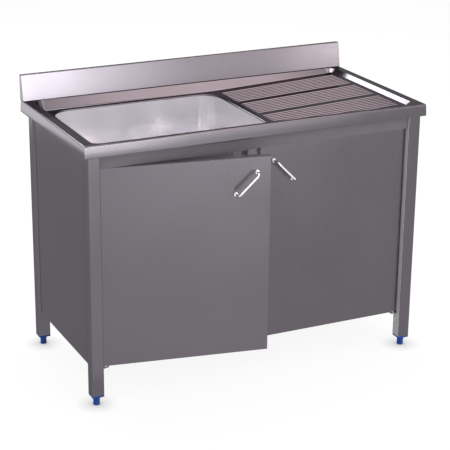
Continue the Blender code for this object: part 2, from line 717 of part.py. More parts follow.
def make_stiffeners():
    front = FRONT_LEG_FACE + FRONT_RAIL_SETBACK + FRONT_RAIL_DEPTH + GAP
    back = BACK_LEG_FACE - BACK_RAIL_DEPTH - GAP
    half = STIFFENER_WIDTH / 2
    for index in range(STIFFENER_COUNT):
        x = SLOPE_START + (SLOPE_END - SLOPE_START) * (index + 1) / (STIFFENER_COUNT + 1)
        name = "drainer_stiffener_" + str(index + 1)
        mesh = open_block_mesh(name, (-half, front, -STIFFENER_HEIGHT), (half, back, 0),
                               ((0, 0, -1), (0, 1, 0), (0, -1, 0)))
        drop = (SHEET + GAP) / math.cos(SLOPE_ANGLE)
        stiffener = add_part(name, mesh, SATIN_STEEL, (x, 0, deck_height(x) - drop))
        stiffener.rotation_euler = (0, -SLOPE_ANGLE, 0)
        give_wall(stiffener, RAIL_SHEET)


# Doors, worked out in the frame of each pivot with the door closed

def door_span(side):
    """X of the door's hinge edge and free edge from its pivot."""
    hinge = side * PIVOT_INSET
    free = DOOR_MEETING_X + side * DOOR_MEETING_GAP / 2 - side * PIVOT_X
    return hinge, free


def make_door(word, side, ajar):
    pivot = new_empty(word + "_door_pivot", (side * PIVOT_X, PIVOT_Y, 0), ROOT)
    pivot.rotation_euler = (0, 0, side * ajar)
    hinge, free = door_span(side)
    low_x, high_x = sorted((hinge, free))
    face = -DOOR_THICKNESS / 2
    name = word + "_door_skin"
    skin = add_part(name, open_block_mesh(name, (low_x, face, DOOR_FLOOR_GAP), (high_x, -face, DOOR_TOP),
                                          ((0, 1, 0),)), SATIN_STEEL, parent=pivot)
    round_edges(skin, DOOR_EDGE_RADIUS, DOOR_EDGE_STEPS)
    give_wall(skin, DOOR_SHEET)
    for end, level in (("top", DOOR_TOP), ("bottom", DOOR_FLOOR_GAP)):
        cutter = word + "_pin_hole_" + end
        hole = add_cutter(cutter, cylinder_mesh(cutter, PIN_DIAMETER + 2 * GAP, level - CUT_REACH / 2,
                                                level + CUT_REACH / 2, PIVOT_STEPS), parent=pivot)
        combine(skin, hole, "DIFFERENCE")
    inset = DOOR_SHEET + GAP
    name = word + "_door_liner"
    add_part(name, block_mesh(name, (low_x + inset, -face - DOOR_SHEET, DOOR_FLOOR_GAP + inset),
                              (high_x - inset, -face, DOOR_TOP - inset)), SATIN_STEEL, parent=pivot)
    make_pivots(word, side, pivot)
    make_handle(word, side, free, face, pivot)
    make_catch(word, side, free, pivot)


def pin_profile(direction, level, reach):
    """A pivot pin with a collar under the door's edge; direction is +1 at the top, -1 at the bottom."""
    shank = PIN_DIAMETER / 2
    collar = PIN_COLLAR_DIAMETER / 2
    seat = level - direction * (DOOR_SHEET + GAP)
    profile = [(0, level + direction * reach), (shank, level + direction * reach), (shank, seat),
               (collar, seat), (collar, seat - direction * PIN_COLLAR_THICKNESS),
               (shank, seat - direction * PIN_COLLAR_THICKNESS), (shank, level - direction * PIN_SHANK),
               (0, level - direction * PIN_SHANK)]
    return profile if direction > 0 else profile[::-1]


def bush_profile(direction, level, flange, hole_sheet):
    """A flanged bush whose flange lies on level and whose sleeve goes through a sheet."""
    bore = PIN_DIAMETER / 2 + GAP
    sleeve = BUSH_DIAMETER / 2
    rim = BUSH_FLANGE_DIAMETER / 2
    end = level + direction * (GAP + hole_sheet + BUSH_OVERRUN)
    profile = [(bore, end), (sleeve, end), (sleeve, level), (rim, level),
               (rim, level - direction * flange), (bore, level - direction * flange)]
    return profile if direction > 0 else profile[::-1]


def make_pivots(word, side, pivot):
    top_reach = DOOR_RAIL_GAP + PIN_REACH
    turned(word + "_top_pin", pin_profile(1, DOOR_TOP, top_reach), BRIGHT_STEEL, (0, 0, 0), pivot,
           steps=PIVOT_STEPS)
    turned(word + "_bottom_pin", pin_profile(-1, DOOR_FLOOR_GAP, TAB_DOOR_GAP + PIN_REACH), BRIGHT_STEEL,
           (0, 0, 0), pivot, steps=PIVOT_STEPS)
    spot = (side * PIVOT_X, PIVOT_Y, 0)
    turned(word + "_top_bush", bush_profile(1, RAIL_BOTTOM - GAP, DOOR_RAIL_GAP - 2 * GAP, RAIL_SHEET),
           WHITE_NYLON, spot, closed=True, steps=PIVOT_STEPS)
    tab_top = DOOR_FLOOR_GAP - TAB_DOOR_GAP
    turned(word + "_bottom_bush", bush_profile(-1, tab_top + GAP, TAB_DOOR_GAP - 2 * GAP, TAB_THICKNESS),
           WHITE_NYLON, spot, closed=True, steps=PIVOT_STEPS)
    near, far = sorted((side * (LEG_INNER_X - GAP), side * (LEG_INNER_X - TAB_LENGTH)))
    name = word + "_pivot_tab"
    tab = add_part(name, block_mesh(name, (near, PIVOT_Y - TAB_WIDTH / 2, tab_top - TAB_THICKNESS),
                                    (far, PIVOT_Y + TAB_WIDTH / 2, tab_top)), SATIN_STEEL)
    cutter = word + "_tab_hole"
    hole = add_cutter(cutter, cylinder_mesh(cutter, BUSH_DIAMETER + 2 * GAP, tab_top - CUT_REACH,
                                            tab_top + CUT_REACH, PIVOT_STEPS), spot)
    combine(tab, hole, "DIFFERENCE")


def handle_path(half, depth):
    """Centre line of the bow handle in its own plane: (along the grip, out of the door)."""
    points = [(-half, 0.0)]
    for step in range(HANDLE_BEND_STEPS + 1):
        angle = 0.5 * math.pi * step / HANDLE_BEND_STEPS
        points.append((-half + HANDLE_BEND * (1 - math.cos(angle)),
                       depth - HANDLE_BEND * (1 - math.sin(angle))))
    return points + [(-along, out) for along, out in points[::-1]]


def make_handle(word, side, free, face, pivot):
    centre = Vector((free + side * HANDLE_EDGE_DISTANCE, face, DOOR_TOP - HANDLE_TOP_DISTANCE))
    along = Vector((-side * math.cos(HANDLE_TILT), 0, math.sin(HANDLE_TILT)))
    out = Vector((0, -1, 0))
    foot = 2 * GAP + ROSETTE_SOCKET_FLOOR
    depth = HANDLE_PROJECTION - HANDLE_WIRE / 2
    spline_points = [centre + along * a + out * (foot if o == 0.0 else o)
                     for a, o in handle_path(HANDLE_CENTRES / 2, depth)]
    curve = bpy.data.curves.new(word + "_handle", "CURVE")
    curve.dimensions = "3D"
    curve.bevel_depth = HANDLE_WIRE / 2
    curve.bevel_resolution = HANDLE_WIRE_STEPS
    curve.use_fill_caps = True
    spline = curve.splines.new("POLY")
    spline.points.add(len(spline_points) - 1)
    for point, place in zip(spline.points, spline_points):
        point.co = (*place, 1.0)
    curve.materials.append(CHROME)
    handle = bpy.data.objects.new(word + "_handle", curve)
    handle.parent = pivot
    PARTS.objects.link(handle)
    for end, sign in (("upper", 1), ("lower", -1)):
        spot = centre + along * (sign * HANDLE_CENTRES / 2) + out * GAP
        bore = HANDLE_WIRE / 2 + GAP
        rim = ROSETTE_DIAMETER / 2
        profile = [(0, ROSETTE_SOCKET_FLOOR), (bore, ROSETTE_SOCKET_FLOOR), (bore, ROSETTE_HEIGHT),
                   (rim - ROSETTE_EDGE, ROSETTE_HEIGHT), (rim, ROSETTE_HEIGHT - ROSETTE_EDGE), (rim, 0),
                   (0, 0)]
        rosette = turned(word + "_rosette_" + end, profile, CHROME, spot, pivot, steps=ROSETTE_STEPS)
        rosette.rotation_euler = (math.radians(90), 0, 0)


def make_catch(word, side, free, pivot):
    middle = free + side * CATCH_MEETING_DISTANCE
    back = DOOR_THICKNESS / 2 + GAP
    level = RAIL_BOTTOM - GAP - CATCH_HEIGHT / 2
    name = word + "_strike"
    plate = block_mesh(name, (middle - STRIKE_LENGTH / 2, back, level - STRIKE_HEIGHT / 2),
                       (middle + STRIKE_LENGTH / 2, back + STRIKE_THICKNESS, level + STRIKE_HEIGHT / 2))
    add_part(name, plate, BRIGHT_STEEL, parent=pivot)
    x = side * PIVOT_X + middle
    front = PIVOT_Y + back + STRIKE_THICKNESS + GAP
    name = word + "_catch"
    case = block_mesh(name, (x - CATCH_LENGTH / 2, front, RAIL_BOTTOM - GAP - CATCH_HEIGHT),
                      (x + CATCH_LENGTH / 2, front + CATCH_DEPTH, RAIL_BOTTOM - GAP))
    round_edges(add_part(name, case, GREY_PLASTIC), CATCH_EDGE_RADIUS, CATCH_EDGE_STEPS)


def centre_on_floor():
    """Moves the whole unit so that the middle of its outline lies over the origin."""
    bpy.context.view_layer.update()
    graph = bpy.context.evaluated_depsgraph_get()
    spans = []
    for part in PARTS.objects:
        if part.type == "EMPTY":
            continue
        shape = part.evaluated_get(graph)
        spans += [(shape.matrix_world @ vert.co).y for vert in shape.to_mesh().vertices]
        shape.to_mesh_clear()
    ROOT.location.y = -(min(spans) + max(spans)) / 2


make_worktop()
make_splashback()
make_bowl()
make_waste()
for corner_name, (corner_side, corner_y) in LEG_PLACES.items():
    make_leg(corner_name, corner_side, corner_y)
make_rails()
make_panels()
make_stiffeners()
make_door("left", -1, LEFT_DOOR_AJAR)
make_door("right", 1, 0.0)
centre_on_floor()
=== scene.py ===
import json
import math

import bmesh
import bpy
from mathutils import Matrix, Vector


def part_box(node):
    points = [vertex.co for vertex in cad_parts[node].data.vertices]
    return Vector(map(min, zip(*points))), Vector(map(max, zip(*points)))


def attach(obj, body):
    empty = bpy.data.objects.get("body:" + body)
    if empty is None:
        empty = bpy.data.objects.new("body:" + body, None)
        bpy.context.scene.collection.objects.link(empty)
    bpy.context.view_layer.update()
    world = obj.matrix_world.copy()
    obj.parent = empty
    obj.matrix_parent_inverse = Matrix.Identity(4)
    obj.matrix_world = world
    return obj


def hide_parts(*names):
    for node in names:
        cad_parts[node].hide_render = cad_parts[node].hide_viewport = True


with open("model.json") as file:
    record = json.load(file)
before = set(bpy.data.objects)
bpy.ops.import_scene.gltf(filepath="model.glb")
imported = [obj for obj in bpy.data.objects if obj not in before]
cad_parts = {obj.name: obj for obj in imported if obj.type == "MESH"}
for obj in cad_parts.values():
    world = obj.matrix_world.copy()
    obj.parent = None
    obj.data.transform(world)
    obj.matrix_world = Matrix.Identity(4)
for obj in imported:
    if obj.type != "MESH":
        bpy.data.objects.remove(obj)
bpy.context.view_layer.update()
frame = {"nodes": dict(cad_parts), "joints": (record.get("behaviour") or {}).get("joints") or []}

mergeGap = 0.00001   # points closer than this are one point
seatGap = 0.0003     # clearance that touching pieces keep
facing = 0.5         # a face looks a given way when its normal agrees at least this much

left, right = Vector((-1, 0, 0)), Vector((1, 0, 0))
front, back = Vector((0, -1, 0)), Vector((0, 1, 0))
down, up = Vector((0, 0, -1)), Vector((0, 0, 1))


# finishes

def newFinish(name):
    finish = bpy.data.materials.new(name)
    finish.use_nodes = True
    return finish, finish.node_tree, finish.node_tree.nodes["Principled BSDF"]


def addNode(tree, kind, settings=None, inputs=None):
    node = tree.nodes.new(kind)
    for key, value in (settings or {}).items():
        setattr(node, key, value)
    for key, value in (inputs or {}).items():
        node.inputs[key].default_value = value
    return node


def objectNoise(tree, stretch, scale, detail):
    # noise on Object coordinates, stretched along the grain
    place = addNode(tree, "ShaderNodeTexCoord")
    spread = addNode(tree, "ShaderNodeMapping", inputs={"Scale": stretch})
    noise = addNode(tree, "ShaderNodeTexNoise", inputs={"Scale": scale, "Detail": detail})
    tree.links.new(place.outputs["Object"], spread.inputs["Vector"])
    tree.links.new(spread.outputs["Vector"], noise.inputs["Vector"])
    return noise.outputs["Fac"]


noiseSpan = {"From Min": 0.3, "From Max": 0.7}   # nearly all noise lies between these


def ranged(tree, value, low, high):
    span = addNode(tree, "ShaderNodeMapRange", inputs={**noiseSpan, "To Min": low, "To Max": high})
    tree.links.new(value, span.inputs["Value"])
    return span.outputs["Result"]


def blended(tree, value, first, second):
    mix = addNode(tree, "ShaderNodeMix", {"data_type": "RGBA"})
    mix.inputs["A"].default_value = (*first, 1)
    mix.inputs["B"].default_value = (*second, 1)
    tree.links.new(value, mix.inputs["Factor"])
    return mix.outputs["Result"]


def steelFinish(name, look):
    finish, tree, shader = newFinish(name)
    cloud = objectNoise(tree, (1, 1, 1), look["cloudScale"], 3)
    grain = objectNoise(tree, look["grain"], 1, 2)
    shader.inputs["Metallic"].default_value = look["metal"]
    shader.inputs["Specular Tint"].default_value = (*[look["edgeTint"]] * 3, 1)
    darker = [part * (1 - look["cloud"]) for part in look["colour"]]
    lighter = [part * (1 + look["cloud"]) for part in look["colour"]]
    both = addNode(tree, "ShaderNodeMath", {"operation": "MULTIPLY_ADD"})
    both.inputs[1].default_value = look["grainShare"]
    tree.links.new(grain, both.inputs[0])
    tree.links.new(ranged(tree, cloud, 0, 1 - look["grainShare"]), both.inputs[2])
    tree.links.new(blended(tree, both.outputs[0], darker, lighter), shader.inputs["Base Color"])
    tree.links.new(ranged(tree, both.outputs[0], look["smooth"], look["rough"]), shader.inputs["Roughness"])
    bump = addNode(tree, "ShaderNodeBump", inputs={"Strength": look["bump"], "Distance": look["scratch"]})
    tree.links.new(grain, bump.inputs["Height"])
    tree.links.new(bump.outputs["Normal"], shader.inputs["Normal"])
    return finish


def mouldedFinish(name, look):
    finish, tree, shader = newFinish(name)
    grain = objectNoise(tree, (1, 1, 1), look["grainScale"], 3)
    cloud = objectNoise(tree, (1, 1, 1), look["cloudScale"], 2)
    shader.inputs["Specular IOR Level"].default_value = look["gloss"]
    tree.links.new(blended(tree, cloud, look["deep"], look["pale"]), shader.inputs["Base Color"])
    tree.links.new(ranged(tree, grain, look["smooth"], look["rough"]), shader.inputs["Roughness"])
    bump = addNode(tree, "ShaderNodeBump", inputs={"Strength": look["bump"], "Distance": 0.0002})
    tree.links.new(grain, bump.inputs["Height"])
    tree.links.new(bump.outputs["Normal"], shader.inputs["Normal"])
    return finish


sheetLook = {"colour": (0.131, 0.1205, 0.135), "cloud": 0.03, "cloudScale": 4, "grainShare": 0.5,
             "metal": 1, "smooth": 0.15, "rough": 0.22, "bump": 0.01, "scratch": 0.0003, "edgeTint": 0.5}
doorLook = {"colour": (0.126, 0.1155, 0.1295), "smooth": 0.26, "rough": 0.33}   # a softer brush
grainAlong = (4, 900, 900)    # brushed from left to right
grainUp = (900, 900, 4)       # brushed from top to bottom
# painted light: the bowl's steel is far paler and less metal than the worktop's, so its walls look brightly lit
bowlPaintedLightLook = {"colour": (0.91, 0.895, 0.925), "cloud": 0.02, "cloudScale": 5, "grainShare": 0.4,
            "metal": 0.8, "smooth": 0.09, "rough": 0.12, "bump": 0.003, "scratch": 0.0003, "edgeTint": 1,
            "grain": (12, 12, 700)}
fittingLook = {"colour": (0.74, 0.72, 0.73), "cloud": 0.04, "cloudScale": 20, "grainShare": 0.4,
               "metal": 1, "smooth": 0.18, "rough": 0.28, "bump": 0.03, "scratch": 0.0002, "edgeTint": 1,
               "grain": (300, 300, 1200)}
chromeLook = {"colour": (0.84, 0.84, 0.86), "cloud": 0.03, "cloudScale": 30, "grainShare": 0.3,
              "metal": 1, "smooth": 0.05, "rough": 0.11, "bump": 0.01, "scratch": 0.0001, "edgeTint": 1,
              "grain": (500, 500, 500)}
blueLook = {"deep": (0.006, 0.036, 0.19), "pale": (0.009, 0.048, 0.235),
            "grainScale": 900, "cloudScale": 60,
            "smooth": 0.34, "rough": 0.46, "bump": 0.10, "gloss": 0.15}
rubberLook = {"deep": (0.018, 0.018, 0.019), "pale": (0.03, 0.03, 0.032),
              "grainScale": 700, "cloudScale": 50,
              "smooth": 0.65, "rough": 0.8, "bump": 0.15, "gloss": 0.4}
nylonLook = {"deep": (0.70, 0.69, 0.66), "pale": (0.78, 0.77, 0.75),
             "grainScale": 800, "cloudScale": 40,
             "smooth": 0.38, "rough": 0.5, "bump": 0.08, "gloss": 0.5}
greyLook = {"deep": (0.14, 0.14, 0.15), "pale": (0.18, 0.18, 0.19),
            "grainScale": 800, "cloudScale": 40,
            "smooth": 0.42, "rough": 0.55, "bump": 0.08, "gloss": 0.4}
coatLook = {"deep": (0.27, 0.26, 0.28), "pale": (0.33, 0.32, 0.34),
            "grainScale": 260, "cloudScale": 25,
            "smooth": 0.6, "rough": 0.75, "bump": 0.35, "gloss": 0.3}   # against noise, under the bowl
railLook = {"deep": (0.095, 0.0865, 0.099), "pale": (0.105, 0.0955, 0.109),
            "grainScale": 1200, "cloudScale": 6,
            "smooth": 0.42, "rough": 0.52, "bump": 0.06, "gloss": 0.1}   # bead blasted steel
linerLook = {"deep": (0.42, 0.41, 0.43), "pale": (0.47, 0.46, 0.48),
             "grainScale": 500, "cloudScale": 8,
             "smooth": 0.45, "rough": 0.55, "bump": 0.10, "gloss": 0.4}   # pale coating inside the doors
sealLook = {"deep": (0.36, 0.35, 0.37), "pale": (0.41, 0.40, 0.42),
            "grainScale": 600, "cloudScale": 30,
            "smooth": 0.5, "rough": 0.65, "bump": 0.08, "gloss": 0.4}

sheetAlong = steelFinish("satinSheetAlong", {**sheetLook, "grain": grainAlong})
sheetUp = steelFinish("satinSheetUp", {**sheetLook, "grain": grainUp})
doorSheet = steelFinish("satinDoorSheet", {**sheetLook, "grain": grainUp, **doorLook})
# painted light: a pale, lit-looking copy of the steel for the bowl
bowlPaintedLightSteel = steelFinish("bowlPaintedLightSteel", bowlPaintedLightLook)
fittingSteel = steelFinish("fittingSteel", fittingLook)
chromePlate = steelFinish("chromePlate", chromeLook)
blueMoulding = mouldedFinish("blueMoulding", blueLook)
blackRubber = mouldedFinish("blackRubber", rubberLook)
whiteNylon = mouldedFinish("whiteNylon", nylonLook)
greyPlastic = mouldedFinish("greyPlastic", greyLook)
soundCoat = mouldedFinish("soundCoat", coatLook)
paleSeal = mouldedFinish("paleSeal", sealLook)
linerCoat = mouldedFinish("linerCoat", linerLook)
blastedSteel = mouldedFinish("blastedSteel", railLook)


# tools shared by the pieces

def addPiece(name, bm, finish, body, nodes=(), wall=0, place=None, sharp=40, inner=None):
    if place:
        bmesh.ops.transform(bm, matrix=place, verts=bm.verts)
    mesh = bpy.data.meshes.new(name)
    bm.to_mesh(mesh)
    bm.free()
    mesh.materials.append(finish)
    mesh.shade_smooth()
    mesh.set_sharp_from_angle(angle=math.radians(sharp))
    piece = bpy.data.objects.new(name, mesh)
    bpy.context.scene.collection.objects.link(piece)
    if wall:
        sheet = piece.modifiers.new("sheet", "SOLIDIFY")
        sheet.thickness = wall
        sheet.offset = -1
        sheet.use_even_offset = True
        if inner:   # the far side of the sheet has its own finish
            mesh.materials.append(inner)
            sheet.material_offset = 1
    shading = piece.modifiers.new("flatFaces", "WEIGHTED_NORMAL")
    shading.keep_sharp = True
    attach(piece, body)
    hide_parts(*nodes)
    return piece


def softenEdges(bm, radius, segments=3, least=30):
    sharp = [edge for edge in bm.edges if edge.is_manifold and edge.calc_face_angle() > math.radians(least)]
    bmesh.ops.bevel(bm, geom=sharp, offset=radius, segments=segments, profile=0.5, affect="EDGES",
                    material=-1, clamp_overlap=True)


def newBlock(low, high):
    bm = bmesh.new()
    bmesh.ops.create_cube(bm, size=1)
    bmesh.ops.scale(bm, vec=high - low, verts=bm.verts)
    bmesh.ops.translate(bm, vec=(low + high) / 2, verts=bm.verts)
    return bm


def roundedBlock(low, high, radius, segments=3):
    bm = newBlock(low, high)
    softenEdges(bm, radius, segments)
    return bm


def foldedSheet(low, high, openSides, radius, segments=4):
    # a block of sheet without its open sides, with rounded folds
    bm = newBlock(low, high)
    gone = [face for face in bm.faces if any(face.normal.dot(side) > facing for side in openSides)]
    bmesh.ops.delete(bm, geom=gone, context="FACES")
    softenEdges(bm, radius, segments)
    return bm


def turnedForm(profile, steps=32, edge=0, segments=2):
    # a line of (radius, height) points, spun about the upright axis
    bm = bmesh.new()
    points = [bm.verts.new((radius, 0, height)) for radius, height in profile]
    line = [bm.edges.new(pair) for pair in zip(points, points[1:])]
    bmesh.ops.spin(bm, geom=points + line, cent=(0, 0, 0), axis=up, angle=2 * math.pi, steps=steps,
                   use_merge=True)
    bmesh.ops.remove_doubles(bm, verts=bm.verts, dist=mergeGap)
    bmesh.ops.recalc_face_normals(bm, faces=bm.faces)
    if edge:
        softenEdges(bm, edge, segments)
    return bm


def outline(low, high, radius):
    return {"left": low.x, "right": high.x, "front": low.y, "back": high.y, "radius": radius, "z": low.z}


def moved(plan, inset, z):
    # the same outline pushed inwards, at another height
    return {"left": plan["left"] + inset, "right": plan["right"] - inset, "front": plan["front"] + inset,
            "back": plan["back"] - inset, "radius": max(plan["radius"] - inset, seatGap), "z": z}


def startRing(bm, plan, steps):
    oldEdges, oldFaces = set(bm.edges), set(bm.faces)
    corners = [bm.verts.new((plan[x], plan[y], plan["z"])) for x, y in
               (("left", "front"), ("right", "front"), ("right", "back"), ("left", "back"))]
    bm.faces.new(corners)
    bmesh.ops.bevel(bm, geom=corners, offset=plan["radius"], segments=steps, profile=0.5, affect="VERTICES",
                    material=-1)
    bmesh.ops.delete(bm, geom=[face for face in bm.faces if face not in oldFaces], context="FACES_ONLY")
    return [edge for edge in bm.edges if edge not in oldEdges]


def hubs(plan, east, north):
    return Vector((plan["right"] - plan["radius"] if east else plan["left"] + plan["radius"],
                   plan["back"] - plan["radius"] if north else plan["front"] + plan["radius"], plan["z"]))


def growRing(bm, edges, was, now):
    # extrudes a rounded outline and lays the new ring on another outline
    made = bmesh.ops.extrude_edge_only(bm, edges=edges)["geom"]
    verts = {item for item in made if isinstance(item, bmesh.types.BMVert)}
    middle = Vector((was["left"] + was["right"], was["front"] + was["back"], 0)) / 2
    for vert in verts:
        east, north = vert.co.x > middle.x, vert.co.y > middle.y
        arm = (vert.co - hubs(was, east, north)) * now["radius"] / was["radius"]
        vert.co = hubs(now, east, north) + Vector((arm.x, arm.y, 0))
    return [item for item in made if isinstance(item, bmesh.types.BMEdge) and verts.issuperset(item.verts)]


def growRings(bm, edges, plans):
    for was, now in zip(plans, plans[1:]):
        edges = growRing(bm, edges, was, now)
    return edges


def turnFaces(bm, point, way):
    # all faces look the way that the face nearest to a point has to look
    bmesh.ops.recalc_face_normals(bm, faces=bm.faces)
    nearest = min(bm.faces, key=lambda face: (face.calc_center_median() - point).length)
    if nearest.normal.dot(way) < 0:
        bmesh.ops.reverse_faces(bm, faces=bm.faces)


# worktop: one pressed sheet with a bowed skirt, a rim, a recess and drainer ribs

worktopSheet = {"sheet": 0.0015, "skirtBow": 0.0025, "skirtRows": 10, "cornerRadius": 0.002,
                "cornerSteps": 12, "edgeRadius": 0.0045, "rimSide": 0.032, "rimFront": 0.020, "rimBack": 0.040,
                "recessDepth": 0.032, "recessRadius": 0.035, "recessDraft": 0.018, "lipRadius": 0.0025,
                "footRadius": 0.008, "arcSteps": 6, "endDepth": 0.012, "slopeGap": 0.016}
bowlShell = {"sheet": 0.0015, "lip": 0.010, "edgeRadius": 0.003, "edgeSteps": 6, "collar": 0.004,
             "cornerRadius": 0.065, "cornerSteps": 20, "draft": 0.008, "floorRadius": 0.025, "floorSteps": 10,
             "wasteHole": 0.060}
drainerRibs = {"groups": 3, "perGroup": 8, "pitch": 0.0168, "width": 0.0095, "crown": 0.002,
               "height": 0.0025, "groupGap": 0.028, "bowlGap": 0.024, "endGap": 0.012, "endSteps": 8,
               "across": (-1.2, -1, -0.87, -0.74, -0.6, -0.46, -0.32, -0.16, 0,
                          0.16, 0.32, 0.46, 0.6, 0.74, 0.87, 1, 1.2)}   # in half widths

topLow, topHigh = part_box("worktop")
rimZ = topHigh.z
deckZ = rimZ - worktopSheet["recessDepth"]
lipLow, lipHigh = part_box("bowl")
lipReach = Vector((1, 1, 0)) * (bowlShell["lip"] - seatGap)
bowlPlan = {**outline(lipLow + lipReach, lipHigh - lipReach, bowlShell["cornerRadius"]), "z": deckZ}
recessPlan = {"left": topLow.x + worktopSheet["rimSide"], "right": topHigh.x - worktopSheet["rimSide"],
              "front": topLow.y + worktopSheet["rimFront"], "back": topHigh.y - worktopSheet["rimBack"],
              "radius": worktopSheet["recessRadius"], "z": rimZ}
slopeStart = bowlPlan["right"] + worktopSheet["slopeGap"]
slopeEnd = recessPlan["right"] - worktopSheet["recessDraft"]


def deckRise(x):
    climb = worktopSheet["recessDepth"] - worktopSheet["endDepth"]
    return climb * max(0, x - slopeStart) / (slopeEnd - slopeStart)


def skirtPlans():
    # upright at its foot, leaning in more and more towards the rim
    size = worktopSheet
    height = rimZ - topLow.z
    outer = outline(topLow, topHigh, size["cornerRadius"])
    lean = math.atan(2 * size["skirtBow"] / height)
    shoulder = rimZ - size["edgeRadius"] * (1 - math.sin(lean))
    plans = []
    for row in range(size["skirtRows"] + 1):
        z = topLow.z + (shoulder - topLow.z) * row / size["skirtRows"]
        plans.append(moved(outer, size["skirtBow"] * ((z - topLow.z) / height) ** 2, z))
    start = plans[-1]["left"] - outer["left"]
    for step in range(1, size["arcSteps"] + 1):
        angle = lean + (math.pi / 2 - lean) * step / size["arcSteps"]
        plans.append(moved(outer, start + size["edgeRadius"] * (math.cos(lean) - math.cos(angle)),
                           rimZ - size["edgeRadius"] * (1 - math.sin(angle))))
    return plans


def recessPlans():
    size = worktopSheet
    draft = math.atan(size["recessDraft"] / size["recessDepth"])
    # from an arc's start to its hub, per radius
    over = (1 - math.sin(draft)) * math.tan(draft) - math.cos(draft)
    plans = []
    for step in range(size["arcSteps"] + 1):
        angle = (math.pi / 2 - draft) * step / size["arcSteps"]
        plans.append(moved(recessPlan, size["lipRadius"] * (over + math.sin(angle)),
                           rimZ - size["lipRadius"] * (1 - math.cos(angle))))
    for step in range(size["arcSteps"] + 1):
        angle = draft + (math.pi / 2 - draft) * step / size["arcSteps"]
        plans.append(moved(recessPlan, size["recessDraft"] - size["footRadius"] * (over + math.cos(angle)),
                           deckZ + size["footRadius"] * (1 - math.sin(angle))))
    return plans


def edgePlans():
    # the rolled edge round the bowl and a short collar
    size = bowlShell
    plans = []
    for step in range(size["edgeSteps"] + 1):
        angle = math.pi / 2 * step / size["edgeSteps"]
        plans.append(moved(bowlPlan, size["edgeRadius"] * (math.sin(angle) - 1),
                           deckZ - size["edgeRadius"] * (1 - math.cos(angle))))
    return plans + [moved(bowlPlan, 0, deckZ - size["collar"])]


def ribCentres():
    ribs = drainerRibs
    groupWidth = (ribs["perGroup"] - 1) * ribs["pitch"] + ribs["width"]
    field = ribs["groups"] * groupWidth + (ribs["groups"] - 1) * ribs["groupGap"]
    first = (recessPlan["front"] + recessPlan["back"] - field + ribs["width"]) / 2
    return [first + group * (groupWidth + ribs["groupGap"]) + rib * ribs["pitch"]
            for group in range(ribs["groups"]) for rib in range(ribs["perGroup"])]


def drainerField(bm):
    # a line across all ribs, drawn along them with close steps at their round ends
    ribs = drainerRibs
    half = ribs["width"] / 2
    start, end = bowlPlan["right"] + ribs["bowlGap"], slopeEnd - ribs["endGap"]
    points = [bm.verts.new((start, centre + half * share, deckZ))
              for centre in ribCentres() for share in ribs["across"]]
    edges = [bm.edges.new(pair) for pair in zip(points, points[1:])]
    bmesh.ops.translate(bm, vec=left * half * (ribs["across"][-1] - 1), verts=points)
    near = [start + half * step / ribs["endSteps"] for step in range(ribs["endSteps"] + 1)]
    stations = near + [start + end - x for x in reversed(near)] + [end + half * (ribs["across"][-1] - 1)]
    verts = list(points)
    for x in stations:
        made = bmesh.ops.extrude_edge_only(bm, edges=edges)["geom"]
        row = {item for item in made if isinstance(item, bmesh.types.BMVert)}
        for vert in row:
            vert.co.x = x
        edges = [item for item in made
                 if isinstance(item, bmesh.types.BMEdge) and row.issuperset(item.verts)]
        verts += row
    return verts


def ribHeight(x, y, centres):
    ribs = drainerRibs
    half = ribs["width"] / 2
    start, end = bowlPlan["right"] + ribs["bowlGap"] + half, slopeEnd - ribs["endGap"] - half
    beyond = max(0, start - x, x - end)
    away = min(math.hypot(beyond, y - centre) for centre in centres)
    climb = min(1, max(0, (half - away) / ((ribs["width"] - ribs["crown"]) / 2)))
    return ribs["height"] * climb * climb * (3 - 2 * climb)


def makeWorktop():
    bm = bmesh.new()
    ribVerts = drainerField(bm)
    bounding = [edge for edge in bm.edges if edge.is_boundary]
    plans = skirtPlans() + recessPlans()
    edges = growRings(bm, startRing(bm, plans[0], worktopSheet["cornerSteps"]), plans)
    hole = startRing(bm, edgePlans()[0], bowlShell["cornerSteps"])
    growRings(bm, hole, edgePlans())
    bmesh.ops.triangle_fill(bm, edges=edges + hole + bounding, use_beauty=True)
    bmesh.ops.bisect_plane(bm, geom=bm.verts[:] + bm.edges[:] + bm.faces[:], plane_co=right * slopeStart,
                           plane_no=right, dist=mergeGap)
    lip = worktopSheet["lipRadius"]
    for vert in bm.verts:
        inDepth = recessPlan["front"] - lip < vert.co.y < recessPlan["back"] + lip
        if inDepth and vert.co.x < recessPlan["right"] + lip:
            vert.co.z += deckRise(vert.co.x) * min(1, (rimZ - vert.co.z) / worktopSheet["recessDepth"])
    centres = ribCentres()
    for vert in ribVerts:
        vert.co.z += ribHeight(vert.co.x, vert.co.y, centres)
    turnFaces(bm, Vector((0, recessPlan["front"], rimZ)), up)
    addPiece("worktopSheet", bm, sheetAlong, "cabinet", ["worktop"], worktopSheet["sheet"])


makeWorktop()
print("worktop made")


# splashback: a folded sheet that leans back, with closed ends

splashSheet = {"sheet": 0.0015, "foot": 0.030, "top": 0.015, "fold": 0.002, "foldSteps": 5, "endFold": 0.0012,
               "endSteps": 4}


